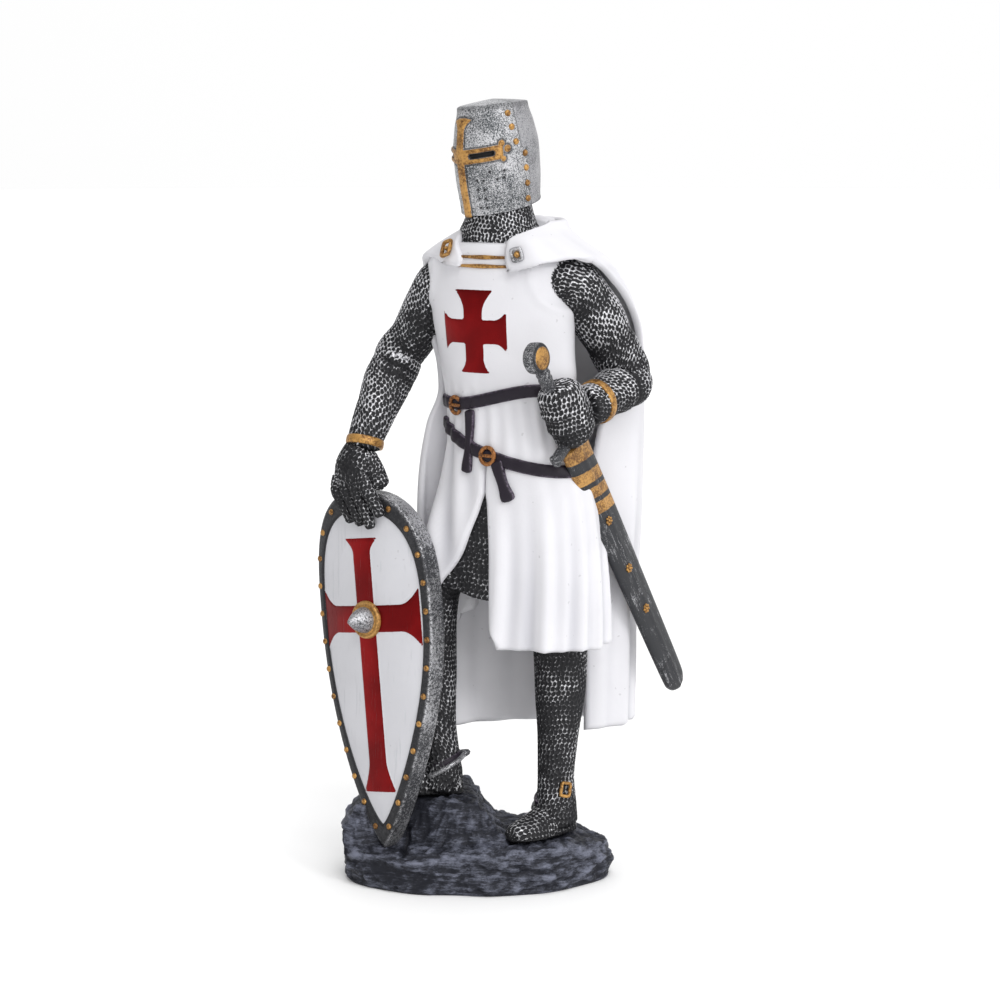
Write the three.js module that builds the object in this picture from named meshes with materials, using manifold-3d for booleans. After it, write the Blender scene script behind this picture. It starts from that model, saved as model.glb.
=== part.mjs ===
// A medieval knight in a great helm, standing on a rock with a kite shield and a sheathed sword:
// a small cast and painted statue. Millimetres, +Z up, the knight faces -Y, +X is his left hand,
// and the origin lies under the middle of the rock. Three castings: the knight on the rock, the
// shield that stands in a notch of the rock, and the sword in its scabbard, held in the left fist.
import * as THREE from 'three';
import { mergeVertices } from 'three/addons/utils/BufferGeometryUtils.js';
import Module from 'manifold-3d';

const wasm = await Module();
wasm.setup();

// Driving dimensions
const statueHeight = 179;
const seatGap = 0.3;
const finestEdge = 0.42;

const rockWidth = 61.4;
const rockDepth = 41.6;
const slabThickness = 10.5;
const stepHeight = 9;
const rockTurn = 35;

const clothThickness = 1.8;
const beltWidth = 2.9;
const beltThickness = 0.7;
const strapWidth = 2;
const strapThickness = 0.5;

const helmLength = 21;
const helmWidth = 17.4;
const helmHeight = 23;
const helmBarWidth = 2.3;
const helmBarHeight = 0.5;
const slitHeight = 1.5;
const slitDepth = 1.1;

const shieldHeight = 82;
const shieldWidth = 35.2;
const shieldThickness = 4.4;
const shieldBulge = 3;
const shieldRimWidth = 2;
const shieldRimHeight = 0.45;
const bossDiameter = 8.8;
const bossHeight = 6.2;

const swordLength = 99;
const scabbardWidth = 9.2;
const scabbardThickness = 3;
const guardSpan = 17;
const guardThickness = 2.4;
const gripDiameter = 3;
const pommelDiameter = 7;
const pommelThickness = 3.4;

// The pose below is drawn for a knight this tall above the slab, and grows with the real height.
const poseHeight = 168.5;
const grow = (statueHeight - slabThickness) / poseHeight;

const TAU = Math.PI * 2;
const radians = (degrees) => (degrees * Math.PI) / 180;
const vec = (x, y, z) => new THREE.Vector3(x, y, z);
const mix = (a, b, t) => a + (b - a) * t;
const hill = (x, middle, spread) => Math.exp(-(((x - middle) / spread) ** 2));

function ramp(low, high, x) {
  const t = Math.min(1, Math.max(0, (x - low) / (high - low)));
  return t * t * (3 - 2 * t);
}

// A point of the pose, with z above the slab, in the statue's own frame.
function posed(p) {
  return vec(p.x * grow, p.y * grow, slabThickness + p.z * grow);
}

// Reads a table of stations at one key: the first column is the key, the rest follow smoothly.
function station(rows, key) {
  const last = rows.length - 1;
  let i = 0;
  while (i < last - 1 && key > rows[i + 1][0]) i += 1;
  const span = rows[i + 1][0] - rows[i][0];
  const t = Math.min(1, Math.max(0, (key - rows[i][0]) / span));
  const slope = (row, column) => {
    if (row === 0 || row === last) return 0;
    const before = (rows[row][column] - rows[row - 1][column]) / (rows[row][0] - rows[row - 1][0]);
    const after = (rows[row + 1][column] - rows[row][column]) / (rows[row + 1][0] - rows[row][0]);
    if (before * after <= 0) return 0;
    return (2 * before * after) / (before + after);
  };
  return rows[i].slice(1).map((start, n) => {
    const column = n + 1;
    const end = rows[i + 1][column];
    const a = slope(i, column) * span;
    const b = slope(i + 1, column) * span;
    const rest = 1 - t;
    return start * rest * rest * (1 + 2 * t) + end * t * t * (3 - 2 * t)
      + a * t * rest * rest - b * t * t * rest;
  });
}

// Solids: a closed three.js mesh goes to the join and cut library, and back at the end.
function solid(points, faces) {
  const geometry = new THREE.BufferGeometry();
  const numbers = points.flatMap((p) => [p.x, p.y, p.z]);
  geometry.setAttribute('position', new THREE.Float32BufferAttribute(numbers, 3));
  geometry.setIndex(faces.flat());
  return fromGeometry(geometry);
}

function fromGeometry(geometry) {
  const bare = geometry.clone();
  bare.deleteAttribute('normal');
  bare.deleteAttribute('uv');
  const merged = mergeVertices(bare, 1e-4);
  const mesh = new wasm.Mesh({
    numProp: 3,
    vertProperties: new Float32Array(merged.attributes.position.array),
    triVerts: new Uint32Array(merged.index.array),
  });
  return new wasm.Manifold(mesh);
}

function joined(solids) {
  return solids.reduce((sum, next) => sum.add(next));
}

// A casting is solid, so a pocket closed off between the cloths is filled.
function filled(shape) {
  const shells = shape.decompose().filter((shell) => shell.volume() > 0);
  return joined(shells);
}

// Joining leaves slivers along the seams: their short edges are drawn together to a point, where
// that turns no face over and leaves the skin closed.
function neat(shape, finest) {
  const { vertProperties, triVerts } = shape.getMesh();
  const points = [];
  for (let i = 0; i < vertProperties.length; i += 3) points.push(vec(...vertProperties.slice(i, i + 3)));
  const faces = [];
  const around = points.map(() => new Set());
  for (let i = 0; i < triVerts.length; i += 3) {
    const face = [...triVerts.slice(i, i + 3)];
    face.forEach((v) => around[v].add(faces.length));
    faces.push(face);
  }
  const slope = (face) => {
    const [a, b, c] = face.map((v) => points[v]);
    return b.clone().sub(a).cross(c.clone().sub(a));
  };
  const ring = (v) => new Set([...around[v]].flatMap((f) => faces[f]).filter((other) => other !== v));
  const draw = (keep, drop) => {
    const mine = ring(keep);
    if ([...ring(drop)].filter((v) => mine.has(v)).length !== 2) return false;
    const home = [points[keep].clone(), points[drop].clone()];
    const onBoth = (f) => around[keep].has(f) && around[drop].has(f);
    const moved = [...around[keep], ...around[drop]].filter((f) => !onBoth(f));
    const before = moved.map((f) => slope(faces[f]));
    const middle = home[0].clone().lerp(home[1], 0.5);
    points[keep].copy(middle);
    points[drop].copy(middle);
    const turned = moved.some((f, i) => {
      const after = slope(faces[f]);
      return after.dot(before[i]) <= 0.5 * after.length() * before[i].length() || after.length() < 1e-4;
    });
    if (turned) {
      points[keep].copy(home[0]);
      points[drop].copy(home[1]);
      return false;
    }
    for (const f of [...around[drop]]) {
      if (around[keep].has(f)) {
        faces[f].forEach((v) => around[v].delete(f));
        faces[f] = null;
      } else {
        faces[f] = faces[f].map((v) => (v === drop ? keep : v));
        around[keep].add(f);
      }
    }
    around[drop].clear();
    return true;
  };
  let drawn = true;
  while (drawn) {
    drawn = false;
    for (let f = 0; f < faces.length; f += 1) {
      for (let side = 0; side < 3 && faces[f]; side += 1) {
        const a = faces[f][side];
        const b = faces[f][(side + 1) % 3];
        if (points[a].distanceTo(points[b]) < finest && draw(a, b)) drawn = true;
      }
    }
  }
  return solid(points, faces.filter((face) => face));
}

// Closed rings of equal length, stacked along a path, with a fan over each end.
function loft(rings) {
  const count = rings[0].length;
  const points = rings.flat();
  const faces = [];
  for (let j = 0; j < rings.length - 1; j += 1) {
    for (let i = 0; i < count; i += 1) {
      const a = j * count + i;
      const b = j * count + ((i + 1) % count);
      faces.push([a, b, b + count], [a, b + count, a + count]);
    }
  }
  const middle = (ring) => ring.reduce((sum, p) => sum.add(p), vec(0, 0, 0)).divideScalar(count);
  const first = points.push(middle(rings[0])) - 1;
  const end = points.push(middle(rings[rings.length - 1])) - 1;
  const top = (rings.length - 1) * count;
  for (let i = 0; i < count; i += 1) {
    const next = (i + 1) % count;
    faces.push([first, next, i], [end, top + i, top + next]);
  }
  return solid(points, faces);
}

// Rings that close on themselves, such as a belt right round the waist.
function hoop(rings) {
  const count = rings[0].length;
  const faces = [];
  for (let j = 0; j < rings.length; j += 1) {
    for (let i = 0; i < count; i += 1) {
      const a = j * count + i;
      const b = j * count + ((i + 1) % count);
      const c = ((j + 1) % rings.length) * count + ((i + 1) % count);
      const d = ((j + 1) % rings.length) * count + i;
      faces.push([a, b, c], [a, c, d]);
    }
  }
  return solid(rings.flat(), faces);
}

// A bent plate: outer and inner grids of equal size, joined along all four edges.
function plate(outer, inner) {
  const rows = outer.length;
  const columns = outer[0].length;
  const points = [...outer.flat(), ...inner.flat()];
  const at = (side, row, column) => side * rows * columns + row * columns + column;
  const faces = [];
  const quad = (a, b, c, d) => faces.push([a, b, c], [a, c, d]);
  for (let r = 0; r < rows - 1; r += 1) {
    for (let c = 0; c < columns - 1; c += 1) {
      quad(at(0, r, c), at(0, r, c + 1), at(0, r + 1, c + 1), at(0, r + 1, c));
      quad(at(1, r, c), at(1, r + 1, c), at(1, r + 1, c + 1), at(1, r, c + 1));
    }
    quad(at(0, r, 0), at(0, r + 1, 0), at(1, r + 1, 0), at(1, r, 0));
    quad(at(0, r, columns - 1), at(1, r, columns - 1), at(1, r + 1, columns - 1), at(0, r + 1, columns - 1));
  }
  for (let c = 0; c < columns - 1; c += 1) {
    quad(at(0, 0, c), at(1, 0, c), at(1, 0, c + 1), at(0, 0, c + 1));
    quad(at(0, rows - 1, c), at(0, rows - 1, c + 1), at(1, rows - 1, c + 1), at(1, rows - 1, c));
  }
  return solid(points, faces);
}

// The outward direction of a surface(u, v) at one place.
function normalOf(surface, u, v, stepU, stepV) {
  const alongU = surface(u + stepU, v).sub(surface(u - stepU, v));
  const alongV = surface(u, v + stepV).sub(surface(u, v - stepV));
  return alongU.cross(alongV).normalize();
}

// A raised patch on a surface, from its own skin out to lift and in to depth.
function patch(surface, [u0, u1, countU], [v0, v1, countV], lift, depth) {
  const grid = (offset) => Array.from({ length: countV + 1 }, (_, j) => (
    Array.from({ length: countU + 1 }, (__, i) => {
      const u = mix(u0, u1, i / countU);
      const v = mix(v0, v1, j / countV);
      const out = normalOf(surface, u, v, (u1 - u0) / 40, (v1 - v0) / 40);
      return surface(u, v).addScaledVector(out, offset);
    })
  ));
  return plate(grid(lift), grid(-depth));
}

// A flat band laid on a surface along a route of {point, out} pairs.
function band(route, width, lift, sink, closed) {
  const count = route.length;
  const rings = route.map(({ point, out }, i) => {
    const before = closed ? route[(i + count - 1) % count] : route[Math.max(0, i - 1)];
    const after = closed ? route[(i + 1) % count] : route[Math.min(count - 1, i + 1)];
    const ahead = after.point.clone().sub(before.point).normalize();
    const side = out.clone().cross(ahead).normalize();
    const corner = (across, up) => point.clone()
      .addScaledVector(side, (across * width) / 2).addScaledVector(out, up);
    return [corner(-1, lift), corner(-1, -sink), corner(1, -sink), corner(1, lift)];
  });
  return closed ? hoop(rings) : loft(rings);
}

// A limb: stations of x, y, z and two radii along a path, with rings square to the path.
function limb(stations, side, { count = 14, steps = 1 } = {}) {
  const rows = stations.map((row, i) => [i, ...row]);
  const last = stations.length - 1;
  const place = (t) => station(rows, t);
  const rings = [];
  for (let k = 0; k <= last * steps; k += 1) {
    const t = k / steps;
    const [x, y, z, wide, deep] = place(t);
    const a = place(Math.max(0, t - 0.25));
    const b = place(Math.min(last, t + 0.25));
    const ahead = vec(b[0] - a[0], b[1] - a[1], b[2] - a[2]).normalize();
    const across = side.clone().addScaledVector(ahead, -side.dot(ahead)).normalize();
    const up = ahead.clone().cross(across);
    rings.push(Array.from({ length: count }, (_, i) => {
      const angle = (TAU * i) / count;
      return vec(x, y, z).addScaledVector(across, wide * Math.cos(angle))
        .addScaledVector(up, deep * Math.sin(angle));
    }));
  }
  return loft(rings.map((ring) => ring.map(posed)));
}

// Clothed body, from the surcoat's hem to the neck: height, centre x and y, half width, half
// depth and turn of each section.
const bodyRows = [
  [45.5, 9.4, 3.8, 22.4, 14.6, -3],
  [60, 9.3, 3.9, 22.1, 13.9, -3],
  [76, 8.8, 4, 21.2, 13, -3],
  [85, 8.4, 3.9, 19.5, 12.4, -2],
  [92.5, 8.1, 3.8, 17.4, 11.5, 0],
  [100.5, 7.3, 3, 15.7, 10.5, 3],
  [111, 6, 2.2, 15.8, 10.5, 5],
  [120, 5.4, 1.9, 16.4, 11.2, 7],
  [127, 5.3, 1.9, 17.2, 10.9, 7],
  [131, 5.3, 2, 17.6, 10.5, 7],
  [134.5, 5.4, 2, 15.2, 10.1, 7],
  [137, 5.5, 2, 12.2, 9.3, 7],
  [139, 5.6, 2, 9.2, 8.6, 7],
];
const splitAngle = -88;
const splitTop = 81;
const hauberkHem = 57.5;

// The bent right thigh pushes the skirt out, and the cloak presses it in behind.
function thighPush(angle, z) {
  const bent = 5 * hill(angle, radians(-134), radians(32)) * (1 - ramp(62, 90, z));
  const pressed = 5.6 * hill(wrapped(angle - Math.PI), radians(-22), radians(46)) * (1 - ramp(80, 98, z));
  return bent - pressed;
}

function skirtFolds(angle, z) {
  const reach = 1 - ramp(50, 92, z);
  const folds = 0.55 * Math.cos(9 * angle + 0.6) + 0.35 * Math.cos(14 * angle - 1.1);
  return reach * folds;
}

// The surcoat's outer skin. Angles run round the body from the knight's left through his back.
function bodySkin(angle, z) {
  const [x, y, wide, deep, turn] = station(bodyRows, z);
  const turned = radians(turn);
  const extra = thighPush(wrapped(angle), z) + skirtFolds(angle, z);
  const across = (wide + extra) * Math.cos(angle);
  const out = (deep + extra) * Math.sin(angle);
  return vec(
    x + across * Math.cos(turned) - out * Math.sin(turned),
    y + across * Math.sin(turned) + out * Math.cos(turned),
    z,
  );
}

function wrapped(angle) {
  const turns = Math.floor((angle + Math.PI) / TAU);
  return angle - turns * TAU;
}

function inset(angle, z, depth) {
  const out = normalOf(bodySkin, angle, z, 0.05, 0.5);
  return bodySkin(angle, z).addScaledVector(out, -depth);
}

function levels(low, high, count) {
  return Array.from({ length: count + 1 }, (_, i) => mix(low, high, i / count));
}

function bodyRing(z, depth, count) {
  return Array.from({ length: count }, (_, i) => posed(inset((TAU * i) / count, z, depth)));
}

// Under the surcoat the mail coat shows as a dark wedge between the skirt's two halves.
function trunk() {
  const mail = levels(hauberkHem, splitTop, 4).map((z) => bodyRing(z, clothThickness * 0.8, 30));
  const cloth = [splitTop + 0.6, ...levels(90, 139, 9)].map((z) => bodyRing(z, 0, 30));
  return loft([...mail, ...cloth]);
}

// The skirt is one cloth from the split round the back to the split, hollow below the mail coat.
function rightSplit(z) {
  const down = 1 - ramp(45.5, splitTop, z);
  return radians(splitAngle - 34 * down);
}

function skirt() {
  const heights = levels(45.5, splitTop + 0.4, 6);
  const columns = 32;
  const grid = (depth) => heights.map((z) => (
    Array.from({ length: columns + 1 }, (_, i) => {
      const angle = mix(radians(splitAngle + 1), rightSplit(z) + TAU, i / columns);
      return posed(inset(angle, z, depth));
    })
  ));
  return plate(grid(0), grid(clothThickness));
}

// The cloak: height, centre x and y, half length, half width and turn of the oval that it follows.
const cloakRows = [
  [23, 4.9, 9.6, 27.3, 10, 54],
  [36, 5.3, 9.6, 27.3, 11, 52.5],
  [50, 5.8, 9.6, 27.4, 12, 51],
  [76, 6.6, 9.4, 28, 12.2, 48],
  [100, 7, 8.8, 28.2, 11, 44],
  [108, 7, 8.6, 28, 10.4, 41],
  [115, 7, 8.2, 27.6, 10, 36],
  [123, 7, 7.4, 26, 10, 27],
  [129, 7.3, 5.6, 24.2, 11.4, 16],
  [133, 8.2, 3.7, 22.2, 13.1, 9],
  [135, 8.3, 3.4, 19.4, 12.9, 8],
  [137.5, 8.3, 3.6, 15.2, 12.1, 8],
  [139.5, 8.2, 4.5, 12.2, 11.2, 8],
  [141.5, 8.1, 5.8, 11, 10.2, 8],
];
// Where its left and right front edges run on that oval. They hang behind the arms, and above the
// mantle's hem they meet at the throat.
const mantleHem = 133;
const cloakEdges = [
  [23, -60, 152],
  [50, -62, 151],
  [76, -62, 149],
  [94, -56, 140],
  [102, -36, 132],
  [108, -14, 134],
  [115, -6, 142],
  [123, -8, 154],
  [132.9, -14, 176],
];
const mantleEdges = [
  [133, -79, 250],
  [134.5, -79, 249],
  [137.5, -77, 230],
  [139.5, -54, 214],
  [141.5, -26, 200],
];

// The mantle's hem hangs lowest at its two front corners.
function mantleDip(angle, z) {
  if (z < mantleHem) return 0;
  const corners = 2.9 * hill(angle, radians(-76), radians(22)) + 2.1 * hill(angle, radians(249), radians(22));
  return corners * (1 - ramp(mantleHem, 139, z));
}

function cloakFolds(angle, z) {
  const reach = 1 - ramp(30, 118, z);
  return reach * (0.75 * Math.sin(8 * angle + 0.4) + 0.5 * Math.sin(13 * angle + 1.9));
}

function cloakSkin(angle, z) {
  const [x, y, long, wide, turn] = station(cloakRows, z);
  const turned = radians(turn);
  const extra = cloakFolds(angle, z);
  const across = (long + extra) * Math.cos(angle);
  const out = (wide + extra) * Math.sin(angle);
  return vec(
    x + across * Math.cos(turned) - out * Math.sin(turned),
    y + across * Math.sin(turned) + out * Math.cos(turned),
    z,
  );
}

function cloak() {
  const columns = 30;
  const hanging = [...levels(23, 94, 4), 102, 109, 116, 123, 128, mantleHem - 0.1];
  const heights = [...hanging, mantleHem, 134.6, 136.4, 138.2, 140, 141.5];
  const grid = (depth) => heights.map((z) => {
    const [left, right] = station(z < mantleHem ? cloakEdges : mantleEdges, z);
    return Array.from({ length: columns + 1 }, (_, i) => {
      const angle = radians(mix(left, right, i / columns));
      const out = normalOf(cloakSkin, angle, z, 0.05, 0.4).setZ(0).normalize();
      const spot = cloakSkin(angle, z).addScaledVector(out, -depth);
      return posed(spot.setZ(spot.z - mantleDip(angle, z)));
    });
  });
  return plate(grid(0), grid(clothThickness));
}

// The hood lies folded on the back, in a soft point.
function hood() {
  const rows = [
    [7.5, 16.2, 112, 1.2, 0.6],
    [7.4, 17, 117, 4.5, 1.6],
    [7.2, 17.2, 124, 8, 2.6],
    [7, 16.6, 131, 9.6, 3.2],
    [6.9, 14.8, 136.5, 9.4, 3.4],
    [6.9, 12.8, 140, 7.4, 2.6],
    [6.9, 11.8, 141.4, 3, 1.2],
  ];
  return limb(rows, vec(1, 0, 0));
}

// Mail collar below the helm.
function coif() {
  const rows = [
    [5.9, 1.9, 131, 8.4, 8],
    [5.9, 1.7, 136, 8.9, 8.6],
    [5.8, 1.4, 139, 8.2, 7.9],
    [5.7, 1.1, 143, 7.3, 7.1],
    [5.6, 0.8, 149, 6.8, 6.8],
  ];
  return limb(rows, vec(1, 0, 0), { count: 16 });
}

// The helm: phase 0 faces front, a quarter turn is the knight's left side.
const helmFoot = vec(5.9, 1.8, 144.6);
const helmCrown = vec(5.5, -1.1, 167.2);
const helmUp = helmCrown.clone().sub(helmFoot).normalize();
const helmAhead = vec(-Math.sin(radians(13)), -Math.cos(radians(13)), 0);
helmAhead.addScaledVector(helmUp, -helmAhead.dot(helmUp)).normalize();
const helmLeft = helmUp.clone().cross(helmAhead);
const helmRows = [
  [0, 0.93, 0.965],
  [0.3, 0.99, 1],
  [0.55, 1.01, 1],
  [0.8, 0.93, 0.925],
  [1, 0.825, 0.84],
];
const slitLevel = 0.51;

function helmSkin(phase, level) {
  const [long, wide] = station(helmRows, level);
  const keel = 1 + 0.045 * hill(wrapped(phase), 0, 0.3);
  const ahead = (helmLength / 2) * long * keel * Math.cos(phase);
  const left = (helmWidth / 2) * wide * Math.sin(phase);
  const dip = 0.3 * level + (0.3 - 0.6 * Math.cos(phase - radians(48))) * level ** 3;
  const up = helmHeight * level + 0.9 * (level - 1) * Math.cos(phase) - dip;
  return helmFoot.clone().addScaledVector(helmAhead, ahead).addScaledVector(helmLeft, left)
    .addScaledVector(helmUp, up);
}

function helm() {
  const ring = (level, size) => Array.from({ length: 24 }, (_, i) => {
    const p = helmSkin((TAU * i) / 24, level);
    const axis = helmFoot.clone().addScaledVector(helmUp, helmHeight * level);
    return posed(axis.add(p.sub(axis).multiplyScalar(size)));
  });
  const crown = [ring(1.018, 0.93), ring(1.032, 0.6)];
  const wall = [0, 0.2, 0.38, 0.55, 0.7, 0.85, 1].map((level) => ring(level, 1));
  return loft([...wall, ...crown]);
}

function onHelm([from, to], [low, high], lift, depth, countU, countV) {
  const skin = (phase, level) => posed(helmSkin(phase, level));
  return patch(skin, [from, to, countU], [low, high, countV], lift, depth);
}

// Gilt bands cross the face at the eye slits, and end in a bud at each side.
function helmCross() {
  const halfBar = helmBarWidth / helmLength;
  const half = slitHeight / helmHeight;
  const arm = [slitLevel - 1.35 * half, slitLevel + 1.35 * half];
  const bud = [slitLevel - 2.2 * half, slitLevel + 2.4 * half];
  const reach = radians(72);
  const budHalf = radians(5);
  return joined([
    onHelm([-halfBar, halfBar], [0.005, 0.875], helmBarHeight, 0.6, 2, 5),
    onHelm([-2.4 * halfBar, 2.4 * halfBar], [0.845, 0.875], helmBarHeight, 0.6, 2, 1),
    onHelm([-reach, reach], arm, helmBarHeight, 0.6, 12, 1),
    onHelm([-reach - budHalf, -reach + budHalf], bud, helmBarHeight, 0.6, 1, 1),
    onHelm([reach - budHalf, reach + budHalf], bud, helmBarHeight, 0.6, 1, 1),
  ]);
}

function helmSlits() {
  const half = slitHeight / helmHeight / 2;
  const near = radians(13);
  const far = radians(57);
  return [[-far, -near], [near, far]].map((phases) => (
    onHelm(phases, [slitLevel - half, slitLevel + half], 1.5, slitDepth, 4, 1)
  ));
}

// Legs and pointed mail shoes. The right foot stands on the rock's step.
const step = stepHeight / grow;
const leftLeg = [
  [14.8, 4, 80, 7.5, 7.5],
  [16.6, 6.8, 60, 7, 7.4],
  [17.4, 8.6, 46, 6.1, 6.5],
  [17, 9.4, 34, 5.6, 6],
  [16.4, 9.3, 22, 4.4, 4.8],
  [16, 9.2, 13, 3.9, 4.5],
  [16, 9.4, 6, 4.1, 5.4],
  [16, 9.6, 1, 4.1, 6],
];
const rightLeg = [
  [3.5, 2, 80, 7.4, 7.4],
  [-4, -2.6, 66, 6.4, 6.8],
  [-8.2, -4.9, 56, 5.5, 6],
  [-8.9, -5.4, 47, 5.6, 6],
  [-8.9, -5.2, 38, 5.6, 5.8],
  [-8.2, -4.8, step + 17, 4.6, 4.8],
  [-7.2, -4, step + 9, 4, 4.4],
  [-6.9, -3.8, step + 4, 4.4, 4.8],
  [-7.4, -4, step, 4.4, 5.2],
];
const shoeRows = [
  [0, 1.8, 3],
  [0.08, 3.2, 6.6],
  [0.3, 3.9, 7.4],
  [0.5, 4.3, 5.8],
  [0.68, 4.7, 4.4],
  [0.85, 3.9, 3.2],
  [0.96, 2.1, 2.2],
  [1, 0.8, 1.4],
];

function shoe(heel, toe) {
  const ahead = toe.clone().sub(heel);
  const side = vec(0, 0, 1).cross(ahead).normalize();
  const rings = shoeRows.map(([share, wide, high]) => (
    Array.from({ length: 12 }, (_, i) => {
      const angle = (TAU * i) / 12;
      const rise = Math.sin(angle);
      const lift = rise > 0 ? rise * high : rise * 0.6;
      return posed(heel.clone().addScaledVector(ahead, share)
        .addScaledVector(side, wide * Math.cos(angle)).add(vec(0, 0, lift)));
    })
  ));
  return loft(rings);
}

const leftShoe = [vec(15.7, 15.4, 0.2), vec(13.8, -6.2, 0.9)];
const rightShoe = [vec(-3.2, -0.6, step + 0.2), vec(-19.2, -12.6, step + 0.3)];

// A ring of strap round a limb, square to its path at one height.
function cuff(centre, ahead, wide, deep, side) {
  const across = side.clone().addScaledVector(ahead, -side.dot(ahead)).normalize();
  const up = ahead.clone().cross(across);
  const route = Array.from({ length: 12 }, (_, i) => {
    const angle = (TAU * i) / 12;
    const out = across.clone().multiplyScalar(Math.cos(angle) / wide)
      .addScaledVector(up, Math.sin(angle) / deep).normalize();
    const point = posed(centre.clone().addScaledVector(across, wide * Math.cos(angle))
      .addScaledVector(up, deep * Math.sin(angle)));
    return { point, out };
  });
  return band(route, strapWidth, strapThickness, 0.8, true);
}

function spur(heel, toe, height) {
  const ahead = toe.clone().sub(heel).setZ(0).normalize();
  const root = heel.clone().addScaledVector(ahead, 2.4).setZ(heel.z + height);
  const tip = heel.clone().addScaledVector(ahead, -2.6).setZ(heel.z + height + 1.6);
  const rows = [root, root.clone().lerp(tip, 0.6), tip].map((p, i) => {
    const thick = 1.1 - 0.3 * i;
    return [p.x, p.y, p.z, thick, thick];
  });
  return limb(rows, vec(0, 0, 1), { count: 6 });
}

function spurStraps() {
  return [[leftShoe, 10.4], [rightShoe, 8.4]].map(([[heel, toe], height]) => {
    const ahead = toe.clone().sub(heel).setZ(0).normalize();
    const centre = heel.clone().addScaledVector(ahead, 6.4).setZ(heel.z + height - 1.2);
    const tilt = vec(ahead.x * 0.34, ahead.y * 0.34, 0.94).normalize();
    return cuff(centre, tilt, 4.1, 4.9, vec(0, 0, 1).cross(ahead)).add(spur(heel, toe, height));
  });
}

// Arms and hands
const rightArm = [
  [-4, 1, 128.6, 5.2, 6],
  [-9.8, 0.8, 127, 5.4, 6.1],
  [-14, 0.5, 121.4, 5.5, 5.9],
  [-18.6, 0.9, 114, 5.4, 5.6],
  [-22.4, 0.2, 108.6, 5.5, 5.5],
  [-22, -3.6, 104.2, 5.6, 5.4],
  [-20.8, -9.4, 98.4, 4.7, 4.7],
  [-20.6, -12.5, 94.4, 4.3, 4.3],
  [-20.8, -14.2, 91.2, 3.9, 3.9],
  [-20.9, -15, 88.6, 3.8, 3.7],
];
// The left arm is bent so sharply that its upper arm and forearm are two forms.
const leftUpperArm = [
  [17, 4, 129, 5.6, 6],
  [22.2, 5.8, 127.6, 5.8, 6],
  [24.2, 8.7, 123.6, 5.7, 5.9],
  [26.2, 12.6, 117, 5.7, 5.8],
  [27.4, 16.4, 111, 5.6, 5.7],
  [28.6, 18.8, 106.8, 5.2, 5.5],
  [29, 19.6, 104, 4, 4.4],
  [29.1, 19.9, 102.5, 1.8, 2],
];
const leftForearm = [
  [28.9, 23, 105.8, 1.6, 1.8],
  [29.1, 21.6, 105.3, 4, 4.2],
  [29.3, 18.6, 104.4, 5.2, 5.4],
  [29.4, 14.8, 103.4, 5.1, 5.4],
  [29.3, 11.6, 102.8, 4.9, 5.2],
  [29.4, 5.4, 101.2, 4.5, 4.7],
  [28.6, 1, 100.2, 4.6, 4.9],
];

// The sword's frame: its line through the left fist, and the flat side's own direction.
const gripCentre = vec(26.5, -4.7, 98.7);
const swordDown = vec(0.06, 0.529, -0.847).normalize();
const swordEdge = vec(0, -0.848, -0.53);
swordEdge.addScaledVector(swordDown, -swordEdge.dot(swordDown)).normalize();
const swordFlat = swordDown.clone().cross(swordEdge);
const gripLength = 22;

function onSword(along, edge, flat) {
  return posed(gripCentre).addScaledVector(swordDown, along).addScaledVector(swordEdge, edge)
    .addScaledVector(swordFlat, flat);
}

// The fist is closed round the grip, with four finger rolls at the front.
function fist() {
  const length = 15.6;
  const rings = levels(-0.5, 0.5, 8).map((share) => {
    const end = Math.sqrt(Math.max(0.12, 1 - (2.05 * share) ** 4));
    const finger = 0.35 * Math.abs(Math.cos((share + 0.5) * 4 * Math.PI));
    return Array.from({ length: 12 }, (_, i) => {
      const angle = (TAU * i) / 12;
      const front = Math.max(0, Math.cos(angle));
      const edge = (5.6 * Math.cos(angle) - finger * front - 1.6) * end;
      const flat = (5 * Math.sin(angle) - 0.6) * end;
      return posed(gripCentre.clone().addScaledVector(swordDown, share * length)
        .addScaledVector(swordEdge, edge).addScaledVector(swordFlat, flat));
    });
  });
  return loft(rings);
}

// The shield's frame: x across, z up along its lean from the tip, y out of its face.
const shieldTip = vec(-12.1, -19, -2);
const shieldUp = vec(-0.128, 0.047, 0.991).normalize();
const shieldOut = vec(-0.12, -0.992, 0);
shieldOut.addScaledVector(shieldUp, -shieldOut.dot(shieldUp)).normalize();
const shieldAcross = shieldUp.clone().cross(shieldOut);

function onShield(across, out, up) {
  return posed(shieldTip).addScaledVector(shieldAcross, across).addScaledVector(shieldOut, out)
    .addScaledVector(shieldUp, up);
}

// Half width of the shield at a share of its height, 0 at the tip and 1 at the top.
function shieldHalf(share) {
  const widest = 0.66;
  if (share > widest) {
    const t = (share - widest) / (1 - widest);
    return Math.max(0, 1 - t ** 3) ** 0.43;
  }
  return Math.sin((Math.PI / 2) * (share / widest)) ** 0.78;
}

function shieldOutline(count) {
  return Array.from({ length: count }, (_, i) => {
    const angle = (TAU * i) / count;
    const share = (1 - Math.cos(angle)) / 2;
    const side = Math.sin(angle) < 0 ? -1 : 1;
    return { across: (side * shieldHalf(share) * shieldWidth) / 2, up: share * shieldHeight };
  });
}

function shieldFace(across) {
  return -shieldBulge * ((2 * across) / shieldWidth) ** 2;
}

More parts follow.
